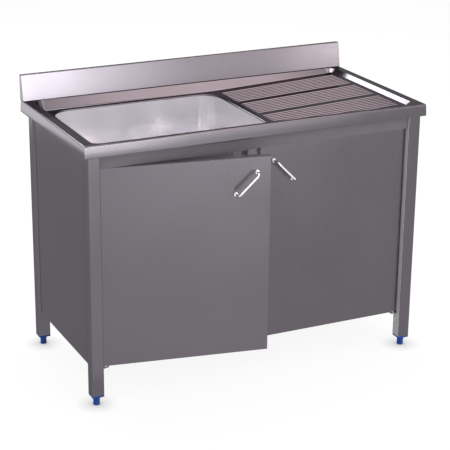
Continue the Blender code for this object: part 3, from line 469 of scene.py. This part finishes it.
def makeSplashback():
    low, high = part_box("splashback")
    bm = newBlock(low, high)
    middle = (low + high) / 2
    for vert in bm.verts:
        if vert.co.y < middle.y:
            vert.co.y = high.y - (splashSheet["top"] if vert.co.z > middle.z else splashSheet["foot"])
    gone = [face for face in bm.faces if face.normal.dot(down) > facing]
    bmesh.ops.delete(bm, geom=gone, context="FACES")
    folds = [edge for edge in bm.edges if min(vert.co.z for vert in edge.verts) > high.z - mergeGap]
    bmesh.ops.bevel(bm, geom=folds, offset=splashSheet["fold"], segments=splashSheet["foldSteps"], profile=0.5,
                    affect="EDGES", material=-1)
    ends = [edge for edge in bm.edges
            if edge.is_manifold and min(vert.co.z for vert in edge.verts) < low.z + mergeGap]
    bmesh.ops.bevel(bm, geom=ends, offset=splashSheet["endFold"], segments=splashSheet["endSteps"], profile=0.5,
                    affect="EDGES", material=-1)
    addPiece("splashSheet", bm, sheetAlong, "cabinet", ["splashback"], splashSheet["sheet"])


makeSplashback()
print("splashback made")


# bowl: deep drawn, with a round floor, under the rolled edge of the worktop

def makeBowl():
    size = bowlShell
    floorZ = lipLow.z + size["sheet"]
    plans = [moved(bowlPlan, 0, deckZ - size["collar"])]
    for step in range(size["floorSteps"] + 1):
        angle = math.pi / 2 * step / size["floorSteps"]
        plans.append(moved(bowlPlan, size["draft"] + size["floorRadius"] * (1 - math.cos(angle)),
                           floorZ + size["floorRadius"] * (1 - math.sin(angle))))
    centre = Vector((bowlPlan["left"] + bowlPlan["right"], bowlPlan["front"] + bowlPlan["back"],
                     2 * floorZ)) / 2
    reach = Vector((1, 1, 0)) * size["wasteHole"] / 2
    plans.append(outline(centre - reach, centre + reach, size["wasteHole"] / 2))
    bm = bmesh.new()
    growRings(bm, startRing(bm, plans[0], size["cornerSteps"]), plans)
    bmesh.ops.remove_doubles(bm, verts=bm.verts, dist=mergeGap)
    turnFaces(bm, centre + right * size["wasteHole"], up)
    addPiece("bowlShell", bm, bowlPaintedLightSteel, "cabinet", ["bowl"], size["sheet"], inner=soundCoat)
    return centre


bowlCentre = makeBowl()
print("bowl made")


# waste outlet, turned pieces under the bowl's hole

wasteSet = {"wall": 0.002, "ledge": 0.006, "edge": 0.0005, "round": 64, "gridHole": 0.008, "gridCircle": 0.030,
            "gridHoles": 8, "holeRound": 24, "nutRound": 48, "pipe": 0.040, "pipeCollar": 0.004}


def ringOf(node):
    low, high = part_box(node)
    return (high.x - low.x) / 2, low.z, high.z


def makeWaste():
    size = wasteSet
    place = Matrix.Translation((bowlCentre.x, bowlCentre.y, 0))
    rim, foot, top = ringOf("waste_flange")
    outer = bowlShell["wasteHole"] / 2 - seatGap
    inner = outer - size["wall"]
    gridRadius, gridLow, gridHigh = ringOf("waste_grid")
    ledge = gridLow - seatGap
    seat = bowlCentre.z + seatGap
    profile = [(inner, top - size["wall"] / 2), (inner + size["wall"] / 2, top), (rim - size["wall"], top),
               (rim, seat), (outer, seat), (outer, foot), (inner, foot), (inner, ledge - size["ledge"] / 2),
               (inner - size["ledge"], ledge - size["ledge"] / 2), (inner - size["ledge"], ledge),
               (inner, ledge)]
    addPiece("wasteFlange", turnedForm(profile + profile[:1], size["round"], size["edge"]), fittingSteel,
             "cabinet", ["waste_flange"], place=place)
    bm = bmesh.new()
    bmesh.ops.create_circle(bm, segments=size["round"], radius=gridRadius)
    spots = [Vector((0, 0, 0))] + [Matrix.Rotation(2 * math.pi * index / size["gridHoles"], 3, "Z") @ right
                                   * size["gridCircle"] / 2 for index in range(size["gridHoles"])]
    for spot in spots:
        bmesh.ops.create_circle(bm, segments=size["holeRound"], radius=size["gridHole"] / 2,
                                matrix=Matrix.Translation(spot))
    bmesh.ops.triangle_fill(bm, edges=bm.edges[:], use_beauty=True)
    bmesh.ops.translate(bm, vec=up * gridHigh, verts=bm.verts)
    turnFaces(bm, Vector((gridRadius, 0, gridHigh)), up)
    addPiece("wasteGrid", bm, fittingSteel, "cabinet", ["waste_grid"], gridHigh - gridLow, place)
    bore = outer + seatGap
    for node, name, finish in (("waste_gasket", "wasteGasket", blackRubber),
                               ("waste_nut", "wasteNut", whiteNylon)):
        rim, low, high = ringOf(node)
        profile = [(bore, high), (rim, high), (rim, low), (bore, low)]
        addPiece(name, turnedForm(profile + profile[:1], size["nutRound"], size["edge"]), finish, "cabinet",
                 [node], place=place)
    rim, low, high = ringOf("waste_tail")
    nutRim, nutLow, nutHigh = ringOf("tail_nut")
    pipe = size["pipe"] / 2
    collar = high - size["pipeCollar"]
    profile = [(pipe - size["wall"], high), (rim, high), (rim, collar), (pipe, collar), (pipe, low),
               (pipe - size["wall"], low)]
    addPiece("wasteTail", turnedForm(profile + profile[:1], size["nutRound"], size["edge"]), whiteNylon,
             "cabinet", ["waste_tail"], place=place)
    lip = collar - seatGap
    profile = [(bore, nutHigh), (nutRim, nutHigh), (nutRim, nutLow), (pipe + seatGap, nutLow),
               (pipe + seatGap, lip), (bore, lip)]
    addPiece("tailNut", turnedForm(profile + profile[:1], size["nutRound"], size["edge"]), whiteNylon, "cabinet",
             ["tail_nut"], place=place)


makeWaste()
print("waste outlet made")


# legs, inserts and screw feet

legTube = {"wall": 0.0015, "edgeRadius": 0.0025}
footInsert = {"edgeRadius": 0.0025, "edgeSteps": 4, "flange": 0.006, "plugGap": 0.0018, "bore": 0.0106,
              "steps": 6}
screwFoot = {"top": 0.0245, "waist": 0.0205, "base": 0.0220, "baseHeight": 0.0085, "edge": 0.0015, "round": 40,
             "stem": 0.010, "stemLength": 0.062, "pitch": 0.0015, "threadDepth": 0.0008, "crest": (0.4, 0.6),
             "turnSteps": 20}


def makeInsert(corner):
    low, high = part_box("foot_insert_" + corner)
    size = footInsert
    plug = outline(low, high, size["edgeRadius"])
    flangeTop = low.z + size["flange"]
    plans = []
    for step in range(size["edgeSteps"] + 1):
        angle = math.pi / 2 * step / size["edgeSteps"]
        plans.append(moved(plug, size["edgeRadius"] / 2 * (1 - math.sin(angle)),
                           low.z + size["edgeRadius"] / 2 * (1 - math.cos(angle))))
    plans += [moved(plug, 0, flangeTop), moved(plug, size["plugGap"], flangeTop),
              moved(plug, size["plugGap"], high.z - size["plugGap"]),
              moved(plug, 2 * size["plugGap"], high.z)]
    middle = (low + high) / 2
    reach = Vector((1, 1, 0)) * size["bore"] / 2
    for z in (high.z, low.z):
        plans.append({**outline(middle - reach, middle + reach, size["bore"] / 2), "z": z})
    bm = bmesh.new()
    first = startRing(bm, plans[0], size["steps"])
    last = growRings(bm, first, plans)
    bmesh.ops.bridge_loops(bm, edges=first + last)
    bmesh.ops.remove_doubles(bm, verts=bm.verts, dist=mergeGap)
    bmesh.ops.recalc_face_normals(bm, faces=bm.faces)
    addPiece("insert." + corner, bm, blueMoulding, "cabinet", ["foot_insert_" + corner])


def makeFoot(corner):
    low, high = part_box("foot_" + corner)
    size = screwFoot
    shoulder = high.z - size["stemLength"]
    base, stem = size["base"] / 2, size["stem"] / 2
    profile = [(0, shoulder + size["pitch"]), (stem - size["threadDepth"], shoulder + size["pitch"]),
               (stem - size["threadDepth"], shoulder), (size["top"] / 2, shoulder),
               (size["waist"] / 2, size["baseHeight"]), (base, size["baseHeight"] - size["edge"]),
               (base, low.z), (0, low.z)]
    bm = turnedForm(profile, size["round"], size["edge"] / 2)
    threadLow, turns = shoulder + size["pitch"] / 2, int(size["stemLength"] / size["pitch"]) - 1
    crestLow, crestHigh = size["crest"]
    points = [bm.verts.new((stem - depth, 0, threadLow + size["pitch"] * share)) for depth, share in
              ((size["threadDepth"], 0), (0, crestLow), (0, crestHigh), (size["threadDepth"], 1))]
    line = [bm.edges.new(pair) for pair in zip(points, points[1:])]
    steps = size["turnSteps"]
    bmesh.ops.spin(bm, geom=points + line, cent=(0, 0, 0), axis=up, dvec=up * size["pitch"] / steps,
                   angle=2 * math.pi * turns, steps=steps * turns)
    bmesh.ops.remove_doubles(bm, verts=bm.verts, dist=mergeGap)
    bmesh.ops.holes_fill(bm, edges=bm.edges[:])
    bmesh.ops.recalc_face_normals(bm, faces=bm.faces)
    middle = (low + high) / 2
    addPiece("foot." + corner, bm, blueMoulding, "foot_" + corner, ["foot_" + corner],
             place=Matrix.Translation((middle.x, middle.y, 0)))


for corner in ("front_left", "front_right", "back_left", "back_right"):
    low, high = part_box("leg_" + corner)
    addPiece("leg." + corner, foldedSheet(low, high, (up, down), legTube["edgeRadius"]), sheetUp, "cabinet",
             ["leg_" + corner], legTube["wall"])
    makeInsert(corner)
    makeFoot(corner)
print("legs and feet made")


# back rail and panels: folded sheets that open to the inside

frameSheets = {
    "back_rail": {"open": (left, right, front), "wall": 0.0015, "fold": 0.002, "finish": sheetAlong},
    "side_panel_left": {"open": (right,), "wall": 0.001, "fold": 0.0006, "finish": sheetUp},
    "side_panel_right": {"open": (left,), "wall": 0.001, "fold": 0.0006, "finish": sheetUp},
    "back_panel": {"open": (front,), "wall": 0.001, "fold": 0.002, "finish": sheetUp},
}
for node, make in frameSheets.items():
    low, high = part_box(node)
    addPiece(node.replace("_", ".") + ".sheet", foldedSheet(low, high, make["open"], make["fold"]),
             make["finish"], "cabinet", [node], make["wall"])


# strips that close the corners between the side panels and the legs

cornerStrip = {"below": 0.002, "round": 0.0004, "length": 0.012}


def makeCornerStrip(word, side, corner, way):
    panelLow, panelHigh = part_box("side_panel_" + word)
    legLow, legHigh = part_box("leg_" + corner + "_" + word)
    outer = legHigh.x if side > 0 else legLow.x
    panel = panelHigh.x if side > 0 else panelLow.x
    legFace = legLow.y if way > 0 else legHigh.y
    reach = abs(outer - panel) - seatGap
    bm = bmesh.new()
    stripLow = panelLow.z + cornerStrip["below"]
    corners = [bm.verts.new((panel + side * (seatGap + x), legFace - way * (seatGap + y), stripLow))
               for x, y in ((0, 0), (reach - seatGap, 0), (0, cornerStrip["length"]))]
    foot = bm.faces.new(corners)
    made = bmesh.ops.extrude_face_region(bm, geom=[foot])["geom"]
    bmesh.ops.translate(bm, vec=up * (panelHigh.z - panelLow.z - 2 * cornerStrip["below"]),
                        verts=[item for item in made if isinstance(item, bmesh.types.BMVert)])
    bmesh.ops.recalc_face_normals(bm, faces=bm.faces)
    softenEdges(bm, cornerStrip["round"], 2)
    addPiece("cornerStrip." + corner + "." + word, bm, sheetUp, "cabinet")


for word, side in (("left", -1), ("right", 1)):
    makeCornerStrip(word, side, "front", -1)
    makeCornerStrip(word, side, "back", 1)


# front rail: its face hangs a little lower than its seat for the door pivots

frontRail = {"wall": 0.0015, "fold": 0.002, "drip": 0.0022}


def makeFrontRail():
    low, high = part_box("front_rail")
    face = foldedSheet(low + down * frontRail["drip"], high, (left, right, back, down), frontRail["fold"])
    addPiece("front.rail.face", face, blastedSteel, "cabinet", ["front_rail"], frontRail["wall"])
    seatLow = low + back * (frontRail["wall"] + seatGap)
    seatHigh = Vector((high.x, high.y, low.z + frontRail["wall"]))
    addPiece("front.rail.seat", roundedBlock(seatLow, seatHigh, frontRail["wall"] / 4), sheetAlong, "cabinet")


makeFrontRail()


# pale strips on the front legs, along the hinge side of the doors: painted light, their pale colour stands in
# for light on the legs' inner faces

hingePaintedLightStrip = {"thick": 0.0008, "edge": 0.00025, "below": 0.001, "inset": 0.0008}


def makeHingePaintedLightStrip(word, side):
    legLow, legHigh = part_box("leg_front_" + word)
    railLow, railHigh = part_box("front_rail")
    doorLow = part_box("right_door_skin")[0]
    inner = legLow.x if side > 0 else legHigh.x
    near, far = inner - side * seatGap, inner - side * (seatGap + hingePaintedLightStrip["thick"])
    bm = bmesh.new()
    seam = railLow.y - hingePaintedLightStrip["inset"]
    strips = [(seam, legHigh.y - legTube["edgeRadius"], railLow.z - hingePaintedLightStrip["below"])]
    if side > 0:   # on the drainer's side it also covers the leg in front of the rail
        strips.append((legLow.y + legTube["edgeRadius"], seam, topLow.z - hingePaintedLightStrip["below"]))
    foot = legLow.z + hingePaintedLightStrip["below"] if side > 0 else doorLow.z
    for y, reach, top in strips:
        bmesh.ops.create_cube(bm, size=1, matrix=Matrix.LocRotScale(
            Vector(((near + far) / 2, (y + reach) / 2, (foot + top) / 2)), None,
            Vector((hingePaintedLightStrip["thick"], reach - y, top - foot))))
    softenEdges(bm, hingePaintedLightStrip["edge"], 2)
    # painted light: the pale finish makes the legs' inner faces look lit
    addPiece("hingePaintedLightStrip." + word, bm, paleSeal, "cabinet")


makeHingePaintedLightStrip("left", -1)
makeHingePaintedLightStrip("right", 1)


# buffers that hang behind the doors' top edges, beside the catches

doorBuffer = {"thick": 0.001, "hang": 0.050, "reach": 0.512, "behindDoor": 0.0014, "edge": 0.0003,
              "besideCatch": 0.001}


def makeDoorBuffers():
    size = doorBuffer
    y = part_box("right_door_skin")[1].y + size["behindDoor"]
    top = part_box("front_rail")[0].z - seatGap
    stops = [-size["reach"]]
    for word in ("left", "right"):
        catchLow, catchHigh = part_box(word + "_catch")
        stops += [catchLow.x - size["besideCatch"], catchHigh.x + size["besideCatch"]]
    stops.append(size["reach"])
    for name, start, end in zip(("left", "middle", "right"), stops[::2], stops[1::2]):
        bm = roundedBlock(Vector((start, y, top - size["hang"])), Vector((end, y + size["thick"], top)),
                          size["edge"], 2)
        addPiece("doorBuffer." + name, bm, greyPlastic, "cabinet")


makeDoorBuffers()
print("rails, panels and seals made")


# doors: a folded skin closed by a liner, built shut and swung on the pivot

doorLeaf = {"sheet": 0.001, "fold": 0.0004, "meeting": 0.003, "ajar": math.radians(10)}
meetingSeal = {"thick": 0.0008, "edge": 0.00025, "inset": 0.001}
doorCap = {"thick": 0.0005, "edge": 0.0001, "inset": 0.0004, "besidePivot": 0.020}
bowHandle = {"centres": 0.096, "wire": 0.008, "projection": 0.0358, "bend": 0.014, "freeEdge": 0.079,
             "belowTop": 0.0815, "tilt": math.radians(45), "foot": 0.0028, "round": 28, "bendSteps": 14}
rosetteCup = {"diameter": 0.014, "height": 0.005, "floor": 0.0022, "fillet": 0.0017, "filletSteps": 6,
              "round": 40}
pivots = {joint["child"]: Vector(joint["pos_m"]) for joint in frame["joints"] if joint["type"] == "hinge"}


def drawRing(bm, ring, way):
    edges = [item for item in ring if isinstance(item, bmesh.types.BMEdge)]
    made = bmesh.ops.extrude_edge_only(bm, edges=edges)["geom"]
    verts = {item for item in made if isinstance(item, bmesh.types.BMVert)}
    bmesh.ops.translate(bm, vec=way, verts=list(verts))
    return list(verts) + [item for item in made
                          if isinstance(item, bmesh.types.BMEdge) and verts.issuperset(item.verts)]


def bowForm():
    # wire drawn out of the door, bent, along the grip, bent and back
    # X runs along the grip, Z out of the door
    size = bowHandle
    half, reach = size["centres"] / 2, size["projection"] - size["wire"] / 2
    bm = bmesh.new()
    ring = bmesh.ops.create_circle(bm, segments=size["round"], radius=size["wire"] / 2,
                                   matrix=Matrix.Translation((-half, 0, size["foot"])))["verts"]
    ring = ring + bm.edges[:]
    rise = reach - size["bend"]
    ring = drawRing(bm, ring, up * (rise - size["foot"]))
    for hub in (-half + size["bend"], half - size["bend"]):
        ring = bmesh.ops.spin(bm, geom=ring, cent=(hub, 0, rise), axis=back, angle=math.pi / 2,
                              steps=size["bendSteps"])["geom_last"]
        way = right * (size["centres"] - 2 * size["bend"]) if hub < 0 else down * (rise - size["foot"])
        ring = drawRing(bm, ring, way)
    bmesh.ops.holes_fill(bm, edges=bm.edges[:])
    bmesh.ops.recalc_face_normals(bm, faces=bm.faces)
    return bm


def rosetteForm():
    size = rosetteCup
    rim, bore = size["diameter"] / 2, bowHandle["wire"] / 2 + seatGap
    profile = [(0, size["floor"]), (bore, size["floor"]), (bore, size["height"])]
    for step in range(size["filletSteps"] + 1):
        angle = math.pi / 2 * step / size["filletSteps"]
        profile.append((rim - size["fillet"] * (1 - math.sin(angle)),
                        size["height"] - size["fillet"] * (1 - math.cos(angle))))
    return turnedForm(profile + [(rim, 0), (0, 0)], size["round"])


def makeDoor(word, side, swing):
    body = word + "_door"
    pivot = pivots[body]
    place = Matrix.Translation(pivot) @ Matrix.Rotation(side * swing, 4, "Z") @ Matrix.Translation(-pivot)
    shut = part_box("right_door_skin")
    hingeX = side * shut[1].x
    freeX = shut[0].x if side > 0 else shut[0].x - doorLeaf["meeting"]
    low = Vector((min(hingeX, freeX), shut[0].y, shut[0].z))
    high = Vector((max(hingeX, freeX), shut[1].y, shut[1].z))
    addPiece(word + ".doorSkin", foldedSheet(low, high, (back,), doorLeaf["fold"]), doorSheet, body,
             [word + "_door_skin"], doorLeaf["sheet"], place)
    capEnds = sorted((hingeX - side * doorCap["besidePivot"], freeX + side * doorCap["inset"]))
    capFoot = high.z + seatGap
    cap = roundedBlock(Vector((capEnds[0], low.y + doorCap["inset"], capFoot)),
                       Vector((capEnds[1], high.y - doorCap["inset"], capFoot + doorCap["thick"])),
                       doorCap["edge"], 2)
    addPiece(word + ".doorCap", cap, blastedSteel, body, place=place)
    inset = Vector((1, 0, 1)) * (doorLeaf["sheet"] + seatGap)
    liner = roundedBlock(low + inset + back * (high.y - low.y - doorLeaf["sheet"]), high - inset, seatGap)
    addPiece(word + ".doorLiner", liner, linerCoat, body, [word + "_door_liner"], place=place)
    centre = Vector((freeX + side * bowHandle["freeEdge"], low.y, high.z - bowHandle["belowTop"]))
    along = Vector((-side * math.cos(bowHandle["tilt"]), 0, math.sin(bowHandle["tilt"])))
    axes = Matrix((along, front.cross(along), front)).transposed().to_4x4()
    addPiece(word + ".bowHandle", bowForm(), chromePlate, body, [word + "_handle"],
             place=place @ Matrix.Translation(centre) @ axes)
    for end, sign in (("upper", 1), ("lower", -1)):
        spot = centre + along * sign * bowHandle["centres"] / 2 + front * seatGap
        addPiece(word + ".rosette." + end, rosetteForm(), chromePlate, body, [word + "_rosette_" + end],
                 place=place @ Matrix.Translation(spot) @ axes)


def makeMeetingSeal():
    low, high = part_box("right_door_skin")
    inset = Vector((0, 1, 1)) * meetingSeal["inset"]
    far = Vector((low.x - seatGap, high.y, high.z)) - inset
    near = Vector((far.x - meetingSeal["thick"], low.y, low.z)) + inset
    addPiece("right.meetingSeal", roundedBlock(near, far, meetingSeal["edge"], 2), paleSeal, "right_door")


makeDoor("left", -1, doorLeaf["ajar"])
makeDoor("right", 1, 0)
makeMeetingSeal()
print("doors and handles made")


# finishes of the pieces that keep their own form

keptFinish = {"base_shelf": sheetAlong, "drainer_stiffener_1": sheetUp, "drainer_stiffener_2": sheetUp}
for word in ("left", "right"):
    for ending, finish in (("_top_pin", fittingSteel), ("_bottom_pin", fittingSteel),
                           ("_strike", sheetAlong), ("_pivot_tab", sheetAlong), ("_top_bush", whiteNylon),
                           ("_bottom_bush", whiteNylon), ("_catch", greyPlastic)):
        keptFinish[word + ending] = finish
for node, finish in keptFinish.items():
    mesh = frame["nodes"][node].data
    mesh.materials.clear()
    mesh.materials.append(finish)
print("kept nodes finished:", len(keptFinish))


# floor, light and camera

# contactReach and contactShade set a painted shadow: the floor's glow is dimmed near the object
studio = {"floorReach": 40, "floorColour": (0.96, 0.96, 0.96), "shadowShare": 0.1, "contactReach": 0.06,
          "contactShade": 0.1}


def makeFloor():
    bm = bmesh.new()
    bmesh.ops.create_grid(bm, x_segments=1, y_segments=1, size=studio["floorReach"])
    mesh = bpy.data.meshes.new("floor")
    bm.to_mesh(mesh)
    bm.free()
    floor = bpy.data.objects.new("floor", mesh)
    bpy.context.scene.collection.objects.link(floor)
    finish, tree, shader = newFinish("paleFloor")
    tree.nodes.remove(shader)
    matt = addNode(tree, "ShaderNodeBsdfDiffuse", inputs={"Color": (*studio["floorColour"], 1)})
    white = addNode(tree, "ShaderNodeEmission", inputs={"Color": (1, 1, 1, 1)})
    # painted shadow: ambient occlusion dims the floor's white glow near the object's feet
    near = addNode(tree, "ShaderNodeAmbientOcclusion", inputs={"Distance": studio["contactReach"]})
    shade = addNode(tree, "ShaderNodeMapRange", inputs={"To Min": studio["contactShade"], "To Max": 1})
    tree.links.new(near.outputs["AO"], shade.inputs["Value"])
    tree.links.new(shade.outputs["Result"], white.inputs["Strength"])
    ray = addNode(tree, "ShaderNodeLightPath")
    seen = None
    for kind in ("Is Camera Ray", "Is Glossy Ray", "Is Transmission Ray"):
        if seen is None:
            seen = ray.outputs[kind]
            continue
        either = addNode(tree, "ShaderNodeMath", {"operation": "MAXIMUM"})
        tree.links.new(seen, either.inputs[0])
        tree.links.new(ray.outputs[kind], either.inputs[1])
        seen = either.outputs[0]
    share = addNode(tree, "ShaderNodeMath", {"operation": "MULTIPLY"})
    share.inputs[1].default_value = 1 - studio["shadowShare"]
    tree.links.new(seen, share.inputs[0])
    mix = addNode(tree, "ShaderNodeMixShader")
    tree.links.new(share.outputs[0], mix.inputs[0])
    tree.links.new(matt.outputs[0], mix.inputs[1])
    tree.links.new(white.outputs[0], mix.inputs[2])
    tree.links.new(mix.outputs[0], tree.nodes["Material Output"].inputs["Surface"])
    mesh.materials.append(finish)


white, rosy, warm = (1, 1, 1), (1, 0.83, 0.80), (1, 0.93, 0.92)
softBoxes = {   # glow is the brightness that a mirror shows
    "frontBox": {"place": (0.42, -4.0, 1.48), "aim": (0.42, 0, 1.48), "size": (1.24, 1.05),
        "glow": 11, "colour": white},
    "midBox": {"place": (1.35, -4.0, 1.38), "aim": (1.35, 0, 1.38), "size": (0.62, 1.25),
        "glow": 3.9, "colour": white},
    "rightBox": {"place": (2.15, -4.0, 1.25), "aim": (2.15, 0, 1.25), "size": (1.0, 1.0),
        "glow": 1.7, "colour": warm},
    "farRightBox": {"place": (3.08, -4.0, 1.3), "aim": (3.08, 0, 1.3), "size": (0.65, 0.8),
        "glow": 6.2, "colour": warm},
    "frontLowBox": {"place": (0.5, -4.0, 0.46), "aim": (0.5, 0, 0.46), "size": (1.4, 0.88),
        "glow": 4.0, "colour": white},
    "lowRightBox": {"place": (1.8, -4.0, 0.40), "aim": (1.8, 0, 0.40), "size": (1.2, 0.60),
        "glow": 1.3, "colour": white},
    "keyBox": {"place": (-2.4, -3.9, 2.9), "aim": (0, 0, 0.8), "size": (1.6, 1.2),
        "glow": 5, "colour": white},
    "backBox": {"place": (-0.05, 4.0, 3.35), "aim": (0.3, 0, 0.85), "size": (1.4, 1.1),
        "glow": 13, "colour": white},
    "cornerBox": {"place": (-0.05, 2.55, 3.9), "aim": (-0.05, 2.55, 0), "size": (0.7, 2.1),
        "glow": 8, "colour": white},
    "middleBox": {"place": (0.35, 0.95, 3.9), "aim": (0.35, 0.95, 0), "size": (0.9, 1.1),
        "glow": 8, "colour": white},
    "bowlBox": {"place": (-2.2, 4.0, 2.75), "aim": (-0.2, 0, 0.8), "size": (1.6, 1.3),
        "glow": 8, "colour": white},
    "lowBackBox": {"place": (-1.6, 3.0, 0.32), "aim": (-0.6, 0, 0.32), "size": (1.6, 0.6),
        "glow": 3.5, "colour": white},
    "nearCard": {"place": (-0.33, -1.70, 0.02), "aim": (-0.33, -1.70, 1), "size": (0.9, 2.6),
        "glow": 0.26, "colour": white},
    "skirtCard": {"place": (0.82, -3.3, 0.02), "aim": (0.82, -3.3, 1), "size": (1.25, 1.4),
        "glow": 0.8, "colour": white},
    "farCard": {"place": (-0.33, -2.50, 0.03), "aim": (-0.33, -2.50, 1), "size": (0.9, 1.2),
        "glow": 0.5, "colour": white},
    "topBox": {"place": (1.70, -1.75, 4.0), "aim": (1.70, -1.75, 0), "size": (1.2, 6.5),
        "glow": 2.9, "colour": rosy},
}


def makeLights():
    for name, box in softBoxes.items():
        lamp = bpy.data.lights.new(name, "AREA")
        lamp.shape = "RECTANGLE"
        lamp.size, lamp.size_y = box["size"]
        lamp.energy = box["glow"] * math.pi * lamp.size * lamp.size_y
        lamp.color = box["colour"]
        light = bpy.data.objects.new(name, lamp)
        light.location = box["place"]
        light.rotation_mode = "QUATERNION"
        light.rotation_quaternion = (Vector(box["aim"]) - Vector(box["place"])).to_track_quat("-Z", "Y")
        light.visible_camera = False
        bpy.context.scene.collection.objects.link(light)


# sine of the elevation, brightness
backSky = ((0.0, 0.70), (0.15, 0.60), (0.45, 0.58), (0.70, 0.55), (1.0, 0.6))
frontSky = ((0.0, 0.75), (0.15, 0.75), (0.45, 0.9), (0.70, 0.9), (1.0, 0.7))


def addRamp(tree, value, sky):
    ramp = addNode(tree, "ShaderNodeValToRGB")
    stops = ramp.color_ramp.elements
    while len(stops) < len(sky):
        stops.new(0.5)
    for stop, (place, bright) in zip(stops, sky):
        stop.position = place
        stop.color = (bright, bright, bright, 1)
    tree.links.new(value, ramp.inputs["Fac"])
    return ramp.outputs["Color"]


def makeWorld():
    world = bpy.data.worlds.new("studio")
    bpy.context.scene.world = world
    world.use_nodes = True
    tree = world.node_tree
    way = addNode(tree, "ShaderNodeTexCoord")
    split = addNode(tree, "ShaderNodeSeparateXYZ")
    tree.links.new(way.outputs["Generated"], split.inputs[0])
    turn = addNode(tree, "ShaderNodeMapRange", inputs={"From Min": -0.5, "From Max": 0.5})
    tree.links.new(split.outputs["Y"], turn.inputs["Value"])
    mix = addNode(tree, "ShaderNodeMix", {"data_type": "RGBA"})
    tree.links.new(turn.outputs["Result"], mix.inputs["Factor"])
    tree.links.new(addRamp(tree, split.outputs["Z"], frontSky), mix.inputs["A"])
    tree.links.new(addRamp(tree, split.outputs["Z"], backSky), mix.inputs["B"])
    tree.links.new(mix.outputs["Result"], tree.nodes["Background"].inputs["Color"])


photoCamera = {"place": (-2.0456, -4.1757, 2.1340), "turn": math.radians(24.152),
               "tilt": math.radians(-19.449), "focus": 1468.96, "frame": 450, "sensor": 36,
               "shift": (0.10, -0.028)}   # focus and frame in pixels


def makeCamera():
    data = bpy.data.cameras.new("photoCamera")
    data.sensor_width = photoCamera["sensor"]
    data.lens = photoCamera["sensor"] * photoCamera["focus"] / photoCamera["frame"]
    data.shift_x, data.shift_y = photoCamera["shift"]
    camera = bpy.data.objects.new("photoCamera", data)
    camera.location = photoCamera["place"]
    camera.rotation_euler = (math.pi / 2 + photoCamera["tilt"], 0, -photoCamera["turn"])
    bpy.context.scene.collection.objects.link(camera)
    bpy.context.scene.camera = camera


makeFloor()
makeLights()
makeWorld()
makeCamera()
bpy.context.scene.view_settings.view_transform = "Standard"
print("stage made")

bpy.context.view_layer.update()
